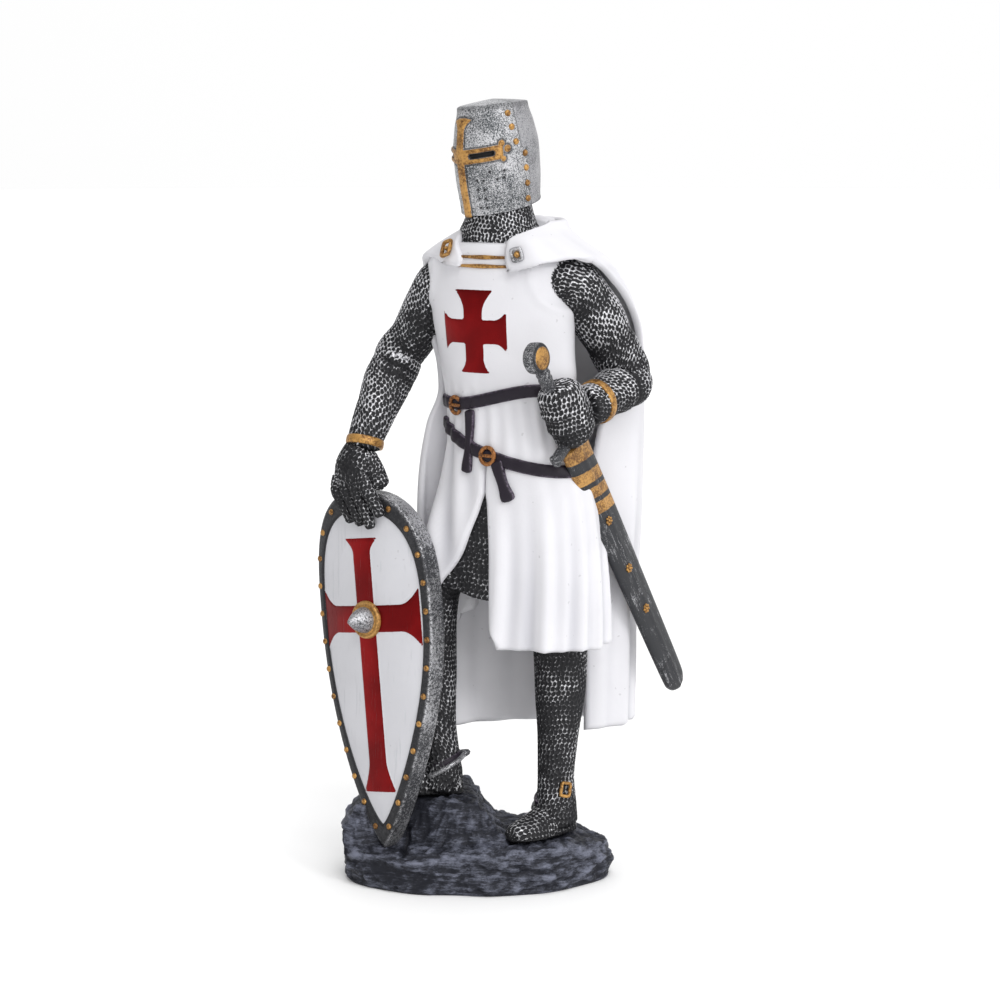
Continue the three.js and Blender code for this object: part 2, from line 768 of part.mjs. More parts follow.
function shieldBody(grown) {
  const outline = shieldOutline(36);
  const heart = 0.55 * shieldHeight;
  const rimShare = 1 - (2 * shieldRimWidth) / shieldWidth;
  const ring = (share, lift, extra) => outline.map(({ across, up }) => {
    const reach = Math.hypot(across, up - heart);
    const wider = share + extra / Math.max(1, reach);
    const x = across * wider;
    return onShield(x, shieldFace(x) + lift, heart + (up - heart) * wider);
  });
  const back = -shieldThickness - grown;
  const front = grown;
  return loft([
    ring(0.45, back, 0),
    ring(0.9, back, 0),
    ring(1, back + 0.6, grown),
    ring(1, shieldRimHeight - 0.3 + front, grown),
    ring(0.985, shieldRimHeight + front, grown),
    ring(rimShare, shieldRimHeight + front, 0),
    ring(rimShare - 0.01, front, 0),
    ring(0.5, front, 0),
  ]);
}

function boss() {
  const radius = bossDiameter / 2;
  const rows = [[-0.8, 0.98], [0.6, 1], [1, 0.86], [0.9, 0.7], [3.4, 0.5], [5, 0.24], [bossHeight, 0.05]];
  const bossSides = 16;
  const middle = 0.64 * shieldHeight;
  return loft(rows.map(([out, share]) => Array.from({ length: bossSides }, (_, i) => {
    const angle = (TAU * i) / bossSides;
    return onShield(radius * share * Math.cos(angle), out, middle + radius * share * Math.sin(angle));
  })));
}

// The right hand lies over the shield's top with its fingers down the face.
function rightHand() {
  const top = shieldHeight;
  const local = (across, out, up) => {
    const p = onShield(across, out, up);
    return [p.x / grow, p.y / grow, (p.z - slabThickness) / grow];
  };
  const palm = [
    [-20.8, -15, 89.4, 3.8, 3.7],
    [...local(1.4, 1.6, top + 5.6), 5.2, 3.2],
    [...local(1.2, 2, top + 2.4), 5.4, 2.5],
    [...local(1.2, 2, top + 0.4), 4.8, 1.6],
  ];
  const fingers = [-2.8, -0.8, 1.8, 4.2].map((start, i) => {
    const middle = [-3.3, -0.4, 2.6, 5.6][i];
    const tip = [-1.5, 1.5, 4.6, 8][i];
    const drop = [7.2, 8, 8.8, 6.2][i];
    return [
      [...local(start, 2, top + 3.8), 1.5, 1.4],
      [...local(middle, 2.4, top + 1), 1.6, 1.6],
      [...local(mix(middle, tip, 0.6), 1.5, top - drop / 2), 1.35, 1.35],
      [...local(tip, 0.8, top - drop), 1, 1],
    ];
  });
  const thumb = [
    [...local(3.6, 0.4, top + 8), 2.6, 2.6],
    [...local(6.4, 0.4, top + 4), 2.4, 2.3],
    [...local(8.8, 0.4, top + 0.4), 1.7, 1.7],
  ];
  const across = shieldAcross.clone();
  const wrist = limb(palm, across);
  const digits = [...fingers, thumb].map((rows) => limb(rows, across, { count: 6 }));
  return joined([wrist, ...digits]);
}

// Belts, laid on the surcoat as far as the cloak
function beltRoute(height, from, to, count) {
  return Array.from({ length: count }, (_, i) => {
    const angle = mix(from, to, i / count);
    const z = height(wrapped(angle));
    return { point: posed(bodySkin(angle, z)), out: normalOf(bodySkin, angle, z, 0.05, 0.5) };
  });
}

const upperBelt = (angle) => 100 + 3.8 * ramp(radians(-125), radians(-40), angle);
const lowerBelt = (angle) => 91.6 - 5.4 * Math.cos(angle + radians(12)) + 1.2 * Math.sin(angle);

function hangingStrap(angle, top, bottom, drift, width) {
  const route = levels(0, 1, 3).map((share) => {
    const a = radians(angle + drift * share);
    const z = mix(top, bottom, share);
    return { point: posed(bodySkin(a, z)), out: normalOf(bodySkin, a, z, 0.05, 0.5) };
  });
  return band(route, width, beltThickness + 0.3, 0.6, false);
}

// A round buckle lying on the surcoat.
function buckle(angle, z, radius) {
  const centre = posed(bodySkin(radians(angle), z));
  const out = normalOf(bodySkin, radians(angle), z, 0.05, 0.5);
  const across = vec(0, 0, 1).cross(out).normalize();
  const up = out.clone().cross(across);
  const route = Array.from({ length: 8 }, (_, i) => {
    const turn = (TAU * i) / 8;
    const spoke = across.clone().multiplyScalar(Math.cos(turn)).addScaledVector(up, Math.sin(turn));
    return { point: centre.clone().addScaledVector(spoke, radius).addScaledVector(out, 0.6), out: spoke };
  });
  return band(route, 1.9, 0.45, 0.45, true);
}

function belts() {
  const start = radians(-188);
  const end = radians(12);
  return joined([
    band(beltRoute(upperBelt, start, end, 16), beltWidth, beltThickness, 0.8, false),
    band(beltRoute(lowerBelt, start + 0.6, end, 14), beltWidth, beltThickness, 0.8, false),
    hangingStrap(-111, 99, 84.5, 1, 2.3),
    hangingStrap(-76, 87.6, 79, 6, 2.6),
    buckle(-122, 99.7, 2.5),
    buckle(-85.5, 88.9, 2.5),
  ]);
}

// Brooches and the two cords between them hold the cloak at the throat.
function throat() {
  const cord = (z, from, to) => band(levels(from, to, 4).map((degrees) => {
    const a = radians(degrees);
    return { point: posed(bodySkin(a, z)), out: normalOf(bodySkin, a, z, 0.05, 0.5) };
  }), 0.9, 0.7, 0.7, false);
  const brooch = (degrees, z, size) => {
    const half = radians(size * 3.4);
    const skin = (u, v) => posed(cloakSkin(u, v));
    const a = radians(degrees);
    return patch(skin, [a - half, a + half, 1], [z - size, z + size, 1], 0.9, 0.8);
  };
  return joined([
    cord(133.3, -108, -64),
    cord(131.3, -110, -64),
    brooch(235, 134.9, 1.6),
    brooch(-71, 134, 1.8),
  ]);
}

// Rock: an uneven slab with a step at the back right, under the raised foot.
const rockAngle = radians(rockTurn);

function rockReach(angle) {
  const own = wrapped(angle - rockAngle);
  const oval = 1 / Math.hypot(Math.cos(own) / (rockWidth / 2), Math.sin(own) / (rockDepth / 2));
  const end = 0.03 * hill(Math.abs(own), Math.PI, 0.6);
  return oval * (1 + end + 0.018 * Math.sin(5 * own + 1) + 0.014 * Math.sin(9 * own + 2.2));
}

// The slab thins toward the shield, and the step rises behind the shield and the left shoe.
function rockTop(x, y) {
  const across = x * Math.cos(rockAngle) + y * Math.sin(rockAngle);
  const back = y * Math.cos(rockAngle) - x * Math.sin(rockAngle);
  const thin = 2.1 * (1 - ramp(-24, 2, across)) * (1 - ramp(-9, 0, back));
  const foot = mix(-6.5, -12, ramp(-18, -4, across));
  const rise = (1 - ramp(-1.5, 7.5, across + 0.1 * back)) * ramp(foot - 1, foot + 3, back);
  const ends = 3 * (1 - ramp(-31, -22, across)) * rise + 1.4 * ramp(20, 29, across);
  const rough = 0.3 * Math.sin(x * 0.9 + 1) * Math.cos(y * 0.8) + 0.2 * Math.sin(x * 1.7 - y * 1.3);
  return slabThickness - thin * (1 - rise) + stepHeight * rise - ends + rough * (1 - 0.6 * rise);
}

function rock() {
  const count = 38;
  const ring = (share, height) => Array.from({ length: count }, (_, i) => {
    const angle = (TAU * i) / count;
    const ripple = 1 + 0.02 * Math.sin(7 * angle + 9 * height) * Math.min(1, height * 3);
    const reach = rockReach(angle) * share * ripple;
    const x = reach * Math.cos(angle);
    const y = reach * Math.sin(angle);
    return vec(x, y, rockTop(x, y) * height);
  });
  const wall = [ring(0.97, 0), ring(1.01, 0.16), ring(1, 0.68), ring(0.96, 0.93)];
  const top = [0.86, 0.7, 0.52, 0.34, 0.15].map((share) => ring(share, 1));
  return loft([...wall, ...top]);
}

// A crack runs down the slab's side below the shield's tip.
function rockCrack() {
  const crack = new THREE.BoxGeometry(2.2, 5, 7.4);
  crack.rotateZ(rockAngle);
  const spot = posed(shieldTip);
  crack.translate(spot.x + 2.3, spot.y - 1.6, spot.z - 3.8);
  return fromGeometry(crack);
}

// Sword: wheel pommel, grip, guard and scabbard are one straight piece.
function swordRing(along, edge, flat, count, grown) {
  return Array.from({ length: count }, (_, i) => {
    const angle = (TAU * i) / count;
    return onSword(along, (edge / 2 + grown) * Math.cos(angle), (flat / 2 + grown) * Math.sin(angle));
  });
}

function blockOnSword(along, edge, flat, grown) {
  const [a0, a1] = along;
  const corners = (a) => {
    const e = edge / 2 + grown;
    const f = flat / 2 + grown;
    return [onSword(a, e, f), onSword(a, -e, f), onSword(a, -e, -f), onSword(a, e, -f)];
  };
  return loft([corners(a0 - grown), corners(a1 + grown)]);
}

function sword(grown) {
  const pommelAt = -(gripLength * 0.72);
  const guardAt = gripLength * 0.32;
  const end = pommelAt - pommelDiameter / 2 + swordLength;
  const wheel = new THREE.CylinderGeometry(
    pommelDiameter / 2 + grown,
    pommelDiameter / 2 + grown,
    pommelThickness + 2 * grown,
    20,
  );
  const turn = new THREE.Matrix4().makeBasis(swordEdge, swordFlat, swordDown);
  turn.setPosition(onSword(pommelAt, 0, 0));
  wheel.applyMatrix4(turn);
  const grip = loft([
    swordRing(pommelAt, gripDiameter, gripDiameter, 12, grown),
    swordRing(guardAt, gripDiameter * 1.15, gripDiameter * 1.1, 12, grown),
  ]);
  const guardEnds = [guardAt - guardThickness / 2, guardAt + guardThickness / 2];
  const guard = blockOnSword(guardEnds, guardSpan, guardThickness * 0.9, grown);
  const mouth = guardAt + 1;
  const rows = [
    [mouth - grown, 1, 1],
    [mouth + 12, 1, 1],
    [mix(mouth, end, 0.55), 0.9, 0.95],
    [end - 9, 0.8, 0.9],
    [end - 3, 0.74, 0.9],
    [end - 0.8, 0.5, 0.8],
    [end + grown, 0.2, 0.5],
  ];
  const scabbard = loft(rows.map(([a, edge, flat]) => (
    swordRing(a, scabbardWidth * edge, scabbardThickness * flat, 16, grown)
  )));
  return joined([fromGeometry(wheel), grip, guard, scabbard]);
}

function knightOnRock() {
  const shoes = [shoe(...leftShoe), shoe(...rightShoe)];
  const legs = [limb(leftLeg, vec(1, 0, 0)), limb(rightLeg, vec(1, 0, 0))];
  const arms = [
    limb(rightArm, vec(1, 0, 0)),
    limb(leftUpperArm, vec(0, 0, 1)),
    limb(leftForearm, vec(0, 0, 1)),
  ];
  const wrists = [
    cuff(vec(-20.8, -14.4, 90.5), vec(0.02, -0.35, -0.94).normalize(), 4, 4, vec(1, 0, 0)),
    cuff(vec(29.4, 5.4, 101.2), vec(-0.08, -0.97, -0.24).normalize(), 4.8, 4.7, vec(0, 0, 1)),
  ];
  const figure = joined([
    trunk(), skirt(), cloak(), hood(), coif(), helm().add(helmCross()), belts(), throat(),
    ...legs, ...shoes, ...spurStraps(), ...arms, ...wrists, fist(), rightHand(),
  ]);
  const carved = helmSlits().reduce((sum, slit) => sum.subtract(slit), figure);
  return carved.add(rock()).subtract(rockCrack());
}

function meshOf(name, shape, colour, roughness, metalness) {
  const { vertProperties, triVerts, numProp } = shape.getMesh();
  const geometry = new THREE.BufferGeometry();
  const points = new THREE.BufferAttribute(new Float32Array(vertProperties), numProp);
  geometry.setAttribute('position', points);
  geometry.setIndex(new THREE.BufferAttribute(new Uint32Array(triVerts), 1));
  geometry.computeVertexNormals();
  const material = new THREE.MeshStandardMaterial({ color: colour, roughness, metalness });
  const mesh = new THREE.Mesh(geometry, material);
  mesh.name = name;
  return mesh;
}

const shieldSolid = shieldBody(0).add(boss());
const swordSolid = sword(0);
const knightBeside = filled(knightOnRock()).subtract(shieldBody(seatGap)).subtract(sword(seatGap));
const knightSolid = neat(knightBeside, finestEdge);

const statue = new THREE.Group();
statue.name = 'medieval_knight_statue';
statue.add(meshOf('knight_on_rock', knightSolid, 0xe9e9ec, 0.5, 0));
statue.add(meshOf('shield', shieldSolid, 0xdedee2, 0.45, 0));
statue.add(meshOf('sword', swordSolid, 0x8a8d92, 0.4, 0.4));
export default statue;
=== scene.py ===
# %% [markdown]
# # A painted statue of a knight
#
# The real object is a small resin casting: a knight in a great helm and mail, with a white surcoat
# and cloak, on a dark rock. A painter blackens the mail, drags silver over its raised rings with an
# almost dry brush, and picks out the belts, crosses and gilt parts by hand.
#
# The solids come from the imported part, in metres, with their place already right. Each is replaced
# here by finer pieces that lie on the same lines. A grid of quads is the start of nearly all of
# them: it is laid on a curved skin, row by row, as a modeller lays a sheet of clay.

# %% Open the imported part
import math

import bmesh
import bpy
import numpy as np
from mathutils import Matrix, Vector, kdtree, noise


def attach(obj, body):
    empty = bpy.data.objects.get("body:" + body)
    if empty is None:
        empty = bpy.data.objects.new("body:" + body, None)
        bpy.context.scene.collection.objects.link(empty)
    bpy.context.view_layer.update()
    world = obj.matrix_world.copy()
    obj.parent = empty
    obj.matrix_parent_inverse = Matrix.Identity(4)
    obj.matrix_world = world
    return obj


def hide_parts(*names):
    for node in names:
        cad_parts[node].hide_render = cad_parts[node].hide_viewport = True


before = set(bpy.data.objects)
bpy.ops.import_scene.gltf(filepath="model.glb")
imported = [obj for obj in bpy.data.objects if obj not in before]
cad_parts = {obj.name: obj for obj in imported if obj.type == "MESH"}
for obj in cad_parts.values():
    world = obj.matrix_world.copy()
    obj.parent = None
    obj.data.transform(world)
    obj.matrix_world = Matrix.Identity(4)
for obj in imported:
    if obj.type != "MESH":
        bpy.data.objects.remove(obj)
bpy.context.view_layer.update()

MM = 0.001

# %% [markdown]
# ## The camera
#
# The statue was photographed from its left front, a little above its middle, with a long lens, so
# upright lines stay almost parallel. The camera stands 700 mm away and looks at a point at half the
# statue's height.

# %% Camera
look_at = Vector((9.664, -4.254, 89)) * MM
view_line = Vector((0.568, -0.8112, 0.1392))
camera_distance = 0.7
camera_data = bpy.data.cameras.new("photo_camera")
camera_data.sensor_width = 36
camera_data.lens = 111.75
camera = bpy.data.objects.new("photo_camera", camera_data)
camera.location = look_at + view_line * camera_distance
camera.rotation_euler = view_line.to_track_quat("Z", "Y").to_euler()
bpy.context.scene.collection.objects.link(camera)
bpy.context.scene.camera = camera
print("camera at", tuple(round(n, 3) for n in camera.location))

# %% [markdown]
# ## Light and floor
#
# A product photo on white: the wall behind is lit to plain white, the room in front of the statue
# and to its left is dimmer, and soft lamps on the right give the folds their shape. Dark paint
# stays dark, because it mirrors the dim side of the room. The floor is plain and pale, as on a
# light table.

# %% Light and floor


def far_lamp(name, toward, strength, spread):
    lamp = bpy.data.lights.new(name, "SUN")
    lamp.energy = strength
    lamp.angle = math.radians(spread)
    holder = bpy.data.objects.new(name, lamp)
    holder.rotation_euler = Vector(toward).to_track_quat("Z", "Y").to_euler()
    bpy.context.scene.collection.objects.link(holder)


def room_light(dim, bright):
    """The room is brightest behind the statue, turned 30 degrees to the right of the view."""
    room = bpy.data.worlds.new("white_room")
    bpy.context.scene.world = room
    room.use_nodes = True
    tree = room.node_tree
    facing = tree.nodes.new("ShaderNodeVectorMath")
    facing.operation = "DOT_PRODUCT"
    x, y = -view_line.x, -view_line.y
    cos, sin = 0.87, 0.5
    facing.inputs[1].default_value = (x * cos + y * sin, y * cos - x * sin, 0.25)
    tree.links.new(tree.nodes.new("ShaderNodeTexCoord").outputs["Generated"], facing.inputs[0])
    level = tree.nodes.new("ShaderNodeMapRange")
    level.interpolation_type = "SMOOTHSTEP"
    for socket, value in {"From Min": -0.1, "From Max": 0.85, "To Min": dim, "To Max": bright}.items():
        level.inputs[socket].default_value = value
    tree.links.new(facing.outputs["Value"], level.inputs["Value"])
    tree.links.new(level.outputs["Result"], tree.nodes["Background"].inputs["Strength"])
    tree.nodes["Background"].inputs["Color"].default_value = (1, 1, 1, 1)


far_lamp("lamp_high", (0.60, -0.60, 0.85), 0.62, 25)
far_lamp("lamp_right", (0.95, -0.25, 0.45), 0.7, 15)
far_lamp("lamp_front", (0.85, -0.55, 0.18), 0.85, 60)
far_lamp("lamp_above", (0.2, -0.1, 1.0), 0.85, 40)
room_light(0.52, 1.0)
bpy.context.scene.view_settings.view_transform = "Standard"

floor_mesh = bmesh.new()
bmesh.ops.create_circle(floor_mesh, cap_ends=True, radius=4, segments=64)
floor_data = bpy.data.meshes.new("floor")
floor_mesh.to_mesh(floor_data)
floor_mesh.free()
floor = bpy.data.objects.new("floor", floor_data)
bpy.context.scene.collection.objects.link(floor)

# %% [markdown]
# ## Writing a paint as sums
#
# A shader is a web of small nodes, and sums are easier to read than wires. This class holds one
# wire of the web, so that `1 - mask` or `grain * 0.4` adds the Math node that works it out. Other
# nodes come from one method of the paint.

# %% Wires and paints


class Wire:
    """One socket of a shader, with sums."""

    def __init__(self, paint, socket):
        self.paint = paint
        self.socket = socket

    def sum(self, operation, first, second):
        return self.paint.node("ShaderNodeMath", {"operation": operation}, {0: first, 1: second})

    def __add__(self, other):
        return self.sum("ADD", self, other)

    def __sub__(self, other):
        return self.sum("SUBTRACT", self, other)

    def __rsub__(self, other):
        return self.sum("SUBTRACT", other, self)

    def __mul__(self, other):
        return self.sum("MULTIPLY", self, other)

    __radd__ = __add__
    __rmul__ = __mul__

    def rise(self, low, high):
        """0 below low, 1 above high, and a soft step between."""
        values = {"Value": self, "From Min": low, "From Max": high}
        return self.paint.node("ShaderNodeMapRange", {"interpolation_type": "SMOOTHSTEP"}, values)


class Paint:
    """A material under construction, around its one Principled shader."""

    def __init__(self, name, **fixed):
        self.material = bpy.data.materials.new(name)
        self.material.use_nodes = True
        self.tree = self.material.node_tree
        self.shader = self.tree.nodes["Principled BSDF"]
        for socket, value in fixed.items():
            self.shader.inputs[socket.replace("_", " ")].default_value = value
        self.place = self.node("ShaderNodeTexCoord", out="Object")

    def node(self, kind, settings=None, values=None, out=0):
        made = self.tree.nodes.new(kind)
        for key, value in (settings or {}).items():
            setattr(made, key, value)
        for key, value in (values or {}).items():
            self.join(value, made.inputs[key])
        return Wire(self, made.outputs[out])

    def join(self, value, socket):
        if isinstance(value, Wire):
            self.tree.links.new(value.socket, socket)
        elif isinstance(value, tuple) and len(value) == 3 and socket.type == "RGBA":
            socket.default_value = (*value, 1)
        else:
            socket.default_value = value

    def field(self, name):
        return self.node("ShaderNodeAttribute", {"attribute_name": name}, out="Fac")

    def speckle(self, size_mm, detail, rough, stretch=None):
        """A noise with grains of about size_mm."""
        place = self.place
        if stretch:
            place = self.node("ShaderNodeMapping", values={"Vector": place, "Scale": stretch})
        values = {"Vector": place, "Scale": 1000 / size_mm, "Detail": detail, "Roughness": rough}
        return self.node("ShaderNodeTexNoise", values=values)

    def blend(self, share, first, second):
        values = {0: share, 6: first, 7: second}
        return self.node("ShaderNodeMix", {"data_type": "RGBA"}, values, out=2)

    def finish(self, height=None, depth_mm=0.05, **wires):
        for socket, value in wires.items():
            self.join(value, self.shader.inputs[socket.replace("_", " ")])
        if height is not None:
            values = {"Height": height, "Distance": depth_mm * MM, "Strength": 1.0}
            self.join(self.node("ShaderNodeBump", values=values), self.shader.inputs["Normal"])
        return self.material


# %% [markdown]
# ## The paints
#
# Mail is painted black first. Silver then catches only on the raised rings, so the paint reads the
# height of the rings, which the mesh carries as a number at each of its points. Broad patches where
# the brush pressed harder come from a large, soft noise.

# %% Mail, silver and gilt
black = (0.010, 0.010, 0.012)


def mail_paint(name, bare):
    """The larger bare is, the more of the mail stays black."""
    paint = Paint(name, IOR=1.5, Specular_IOR_Level=0.3)
    pressed = paint.speckle(9, 2, 0.6)
    grain = paint.speckle(0.42, 3, 0.7)
    caught = (paint.field("relief") + (grain - 0.5) * 0.6 + (pressed - 0.5) * 0.8).rise(bare, bare + 0.36)
    worn = paint.blend(grain.rise(0.35, 0.65), (0.27, 0.27, 0.29), (0.82, 0.82, 0.85))
    colour = paint.blend(caught, black, worn)
    return paint.finish(
        Base_Color=colour, Metallic=caught * 0.35, Roughness=0.58 - caught * 0.2, height=grain, depth_mm=0.06
    )


def silver_paint(name, dark_share, grain_mm):
    """The larger dark_share is, the more of the dark ground shows."""
    paint = Paint(name, IOR=1.5, Specular_IOR_Level=0.35)
    grain = paint.speckle(grain_mm, 4, 0.75)
    fine = paint.speckle(grain_mm * 0.35, 2, 0.6)
    patch = paint.speckle(9, 2, 0.5)
    wash = paint.field("wash")
    caught = (grain * 0.6 + fine * 0.4 + (patch - 0.5) * 0.35).rise(dark_share - 0.07, dark_share + 0.07)
    caught = caught * (1 - wash)
    colour = paint.blend(caught, (0.040, 0.041, 0.046), (0.50, 0.50, 0.52))
    colour = paint.blend(wash, colour, black)
    return paint.finish(
        Base_Color=colour, Metallic=0.25 + caught * 0.55, Roughness=0.52 - caught * 0.16,
        height=grain, depth_mm=0.09,
    )


def gilt_colour(paint, deep=(0.13, 0.055, 0.014), bright=(0.50, 0.27, 0.075)):
    grain = paint.speckle(0.5, 3, 0.7)
    patch = paint.speckle(3.5, 2, 0.6)
    return paint.blend((grain * 0.6 + patch * 0.4).rise(0.38, 0.60), deep, bright), grain


def gilt_paint(name, **colours):
    paint = Paint(name, Metallic=0.5, Roughness=0.42)
    colour, grain = gilt_colour(paint, **colours)
    return paint.finish(Base_Color=colour, height=grain, depth_mm=0.06)


mail = mail_paint("blackened_mail", 0.68)
dark_mail = mail_paint("dark_mail", 0.80)
shaded_mail = mail_paint("shaded_mail", 0.90)
steel = silver_paint("brushed_silver", 0.48, 0.42)
dark_steel = silver_paint("dark_silver", 0.56, 0.5)
rim_steel = silver_paint("rim_silver", 0.53, 0.6)
gilt = gilt_paint("gilt")
bronze = gilt_paint("bronze", deep=(0.04, 0.014, 0.006), bright=(0.36, 0.145, 0.04))
print("metal paints ready")

# %% [markdown]
# ## White cloth and the red cross
#
# The cloth is a soft, slightly blue white, with a few specks of dust caught in the paint. The
# valleys of its folds are greyed as painted shade. The cross is a thick, glossy red. Its outline is
# a distance in millimetres kept in the mesh, more than nothing inside the cross: the shader cuts the
# paint where that number passes zero, and a little noise makes the edge that of a brush.

# %% White cloth, red cross
red_deep = (0.13, 0.002, 0.003)
red_light = (0.23, 0.004, 0.005)


def white_paint(name, tint, groove=0.0):
    paint = Paint(name, IOR=1.45, Specular_IOR_Level=0.25)
    soft = paint.speckle(14, 3, 0.5)
    grain = paint.speckle(0.9, 3, 0.6)
    colour = paint.blend(soft.rise(0.3, 0.7), tuple(n * 0.94 for n in tint), tint)
    specks = paint.speckle(1.1, 0, 0.5).rise(0.84, 0.855)
    colour = paint.blend(specks * 0.35, colour, (0.35, 0.34, 0.36))
    # Painted shade: the valleys of the folds are greyed toward a blue grey.
    colour = paint.blend(paint.field("fold_shade") * 0.6, colour, (0.42, 0.42, 0.46))
    height = grain
    if groove:
        streaks = paint.speckle(0.55, 3, 0.65, stretch=(1, 1, 0.045))
        lines = streaks.rise(0.60, 0.69)
        colour = paint.blend(lines * groove, colour, (0.52, 0.53, 0.56))
        height = grain * 0.4 - lines * 1.2
    edge = paint.field("red") + (grain - 0.5) * 0.16
    red = edge.rise(-0.04, 0.06)
    ridge = paint.blend(soft.rise(0.35, 0.65), red_deep, red_light)
    colour = paint.blend(red, colour, ridge)
    return paint.finish(
        Base_Color=colour, Roughness=0.46 - red * 0.14 + (grain - 0.5) * 0.08, Metallic=red * 0.7,
        height=height, depth_mm=0.035,
    )


cloth_white = white_paint("white_cloth", (0.70, 0.695, 0.725))
board_white = white_paint("white_board", (0.59, 0.59, 0.62), groove=0.75)
print("white paints ready")

# %% [markdown]
# ## Leather and rock
#
# The belts are near black with a warm violet cast, rubbed lighter on their edges. The rock is slate
# blue, painted almost black and then dry-brushed sideways with a paler grey, so the high places are
# light and the brush marks lie flat.

# %% Leather and rock


def leather_paint():
    paint = Paint("dark_leather", Specular_IOR_Level=0.3)
    grain = paint.speckle(0.6, 4, 0.7)
    patch = paint.speckle(4, 2, 0.6)
    rubbed = (grain * 0.7 + patch * 0.3 + paint.field("relief") * 0.3).rise(0.66, 0.98)
    colour = paint.blend(rubbed, (0.010, 0.006, 0.013), (0.15, 0.12, 0.165))
    return paint.finish(Base_Color=colour, Roughness=0.5 - rubbed * 0.12, height=grain, depth_mm=0.10)


def rock_paint():
    paint = Paint("slate_rock", Specular_IOR_Level=0.25)
    streaks = paint.speckle(2.8, 5, 0.7, stretch=(1, 1, 5))
    fine = paint.speckle(0.6, 4, 0.75, stretch=(1, 1, 2.4))
    patch = paint.speckle(16, 2, 0.5)
    raised = paint.field("relief")
    brushed = (streaks * 0.7 + fine * 0.45 + patch * 0.2 + raised * 0.45).rise(0.70, 1.12)
    colour = paint.blend(brushed, (0.011, 0.012, 0.018), (0.155, 0.165, 0.215))
    return paint.finish(
        Base_Color=colour, Roughness=0.62 - brushed * 0.08, height=streaks * 0.6 + fine * 0.4, depth_mm=0.22
    )


leather = leather_paint()
slate = rock_paint()


def floor_paint():
    paint = Paint("pale_floor", Roughness=0.8, Emission_Color=(1, 1, 1, 1), Emission_Strength=0.08)
    tone = paint.blend(paint.speckle(600, 2, 0.5), (0.86, 0.86, 0.86), (0.90, 0.90, 0.90))
    return paint.finish(Base_Color=tone)


floor.data.materials.append(floor_paint())
print("paints", len(bpy.data.materials))

# %% [markdown]
# ## Curves from a few stations
#
# The statue's forms are described by a handful of stations, such as the width of the body at a few
# heights. A smooth curve runs through them without overshooting, the same curve as in the solids,
# so the dressed pieces lie on the cast ones. All of this is in millimetres and worked out for whole
# grids at once.

# %% Stations and skins
slab = 10.5
TAU = 2 * math.pi
quarter = TAU / 4


def ramp(low, high, x):
    """0 below low, 1 above high, and a soft step between."""
    t = np.clip((x - low) / (high - low), 0, 1)
    return t * t * (3 - 2 * t)


def hill(x, middle, spread):
    """A bell that is 1 at its middle."""
    return np.exp(-(((x - middle) / spread) ** 2))


def mix(a, b, t):
    return a + (b - a) * t


def wrapped(angle):
    """The same direction, between minus half a turn and half a turn."""
    return (angle + math.pi) % TAU - math.pi


def stations(rows, key):
    """The smooth values at key of a table whose first column holds the keys."""
    table = np.array(rows, float)
    keys, values = table[:, 0], table[:, 1:]
    steps = np.diff(values, axis=0) / np.diff(keys)[:, None]
    slopes = np.zeros_like(values)
    before, after = steps[:-1], steps[1:]
    agree = before * after > 0
    total = np.where(agree, before + after, 1)
    slopes[1:-1] = np.where(agree, 2 * before * after / total, 0)
    key = np.asarray(key, float)
    i = np.clip(np.searchsorted(keys, key, side="right") - 1, 0, len(keys) - 2)
    span = keys[i + 1] - keys[i]
    t = np.clip((key - keys[i]) / span, 0, 1)[..., None]
    rest = 1 - t
    a = slopes[i] * span[..., None]
    b = slopes[i + 1] * span[..., None]
    curve = values[i] * rest * rest * (1 + 2 * t) + values[i + 1] * t * t * (3 - 2 * t)
    curve = curve + a * t * rest * rest - b * t * t * rest
    return [curve[..., n] for n in range(curve.shape[-1])]


def point(x, y, z):
    return np.stack(np.broadcast_arrays(x, y, z), axis=-1).astype(float)


def unit(vector):
    vector = np.asarray(vector, float)
    return vector / np.maximum(1e-12, np.linalg.norm(vector, axis=-1, keepdims=True))


def full_turn(steps):
    """The angles of a ring, as one row whose first and last are the same direction."""
    return np.linspace(0, TAU, steps + 1)[None, :]


def boxed(angle, sharp):
    """How far a rounded square reaches. It is a circle where sharp is 2."""
    return (np.abs(np.cos(angle)) ** sharp + np.abs(np.sin(angle)) ** sharp) ** (-1 / sharp)


def rounded(distance, radius):
    """0 at an edge and 1 from radius on, along a quarter circle."""
    return np.sqrt(np.clip(1 - (1 - np.minimum(distance, radius) / radius) ** 2, 0, 1))


def run_along(path):
    """The length of a path up to each of its points."""
    return np.concatenate([[0], np.cumsum(np.linalg.norm(np.diff(path, axis=0), axis=1))])


def two_columns(profile):
    """The two numbers of each row of a profile, as two columns."""
    table = np.array(profile, float)
    return table[:, :1], table[:, 1:]


def turned_oval(x, y, across, out, degrees, z):
    """A place on an oval that is turned by some degrees about its centre x, y."""
    turn = np.radians(degrees)
    cos, sin = np.cos(turn), np.sin(turn)
    return point(x + across * cos - out * sin, y + across * sin + out * cos, z)


print("station at 0.5:", stations([(0, 0), (1, 2), (2, 3)], 0.5)[0].round(3))

# %% [markdown]
# ## From a grid to a piece
#
# `create_grid` makes the quads, and every vertex is then moved to its place. Where the grid meets
# itself its doubles are merged, so that a tube or a bag is closed. Numbers such as the height of a
# mail ring travel with the vertices, for the paints to read.

# %% Grid pieces


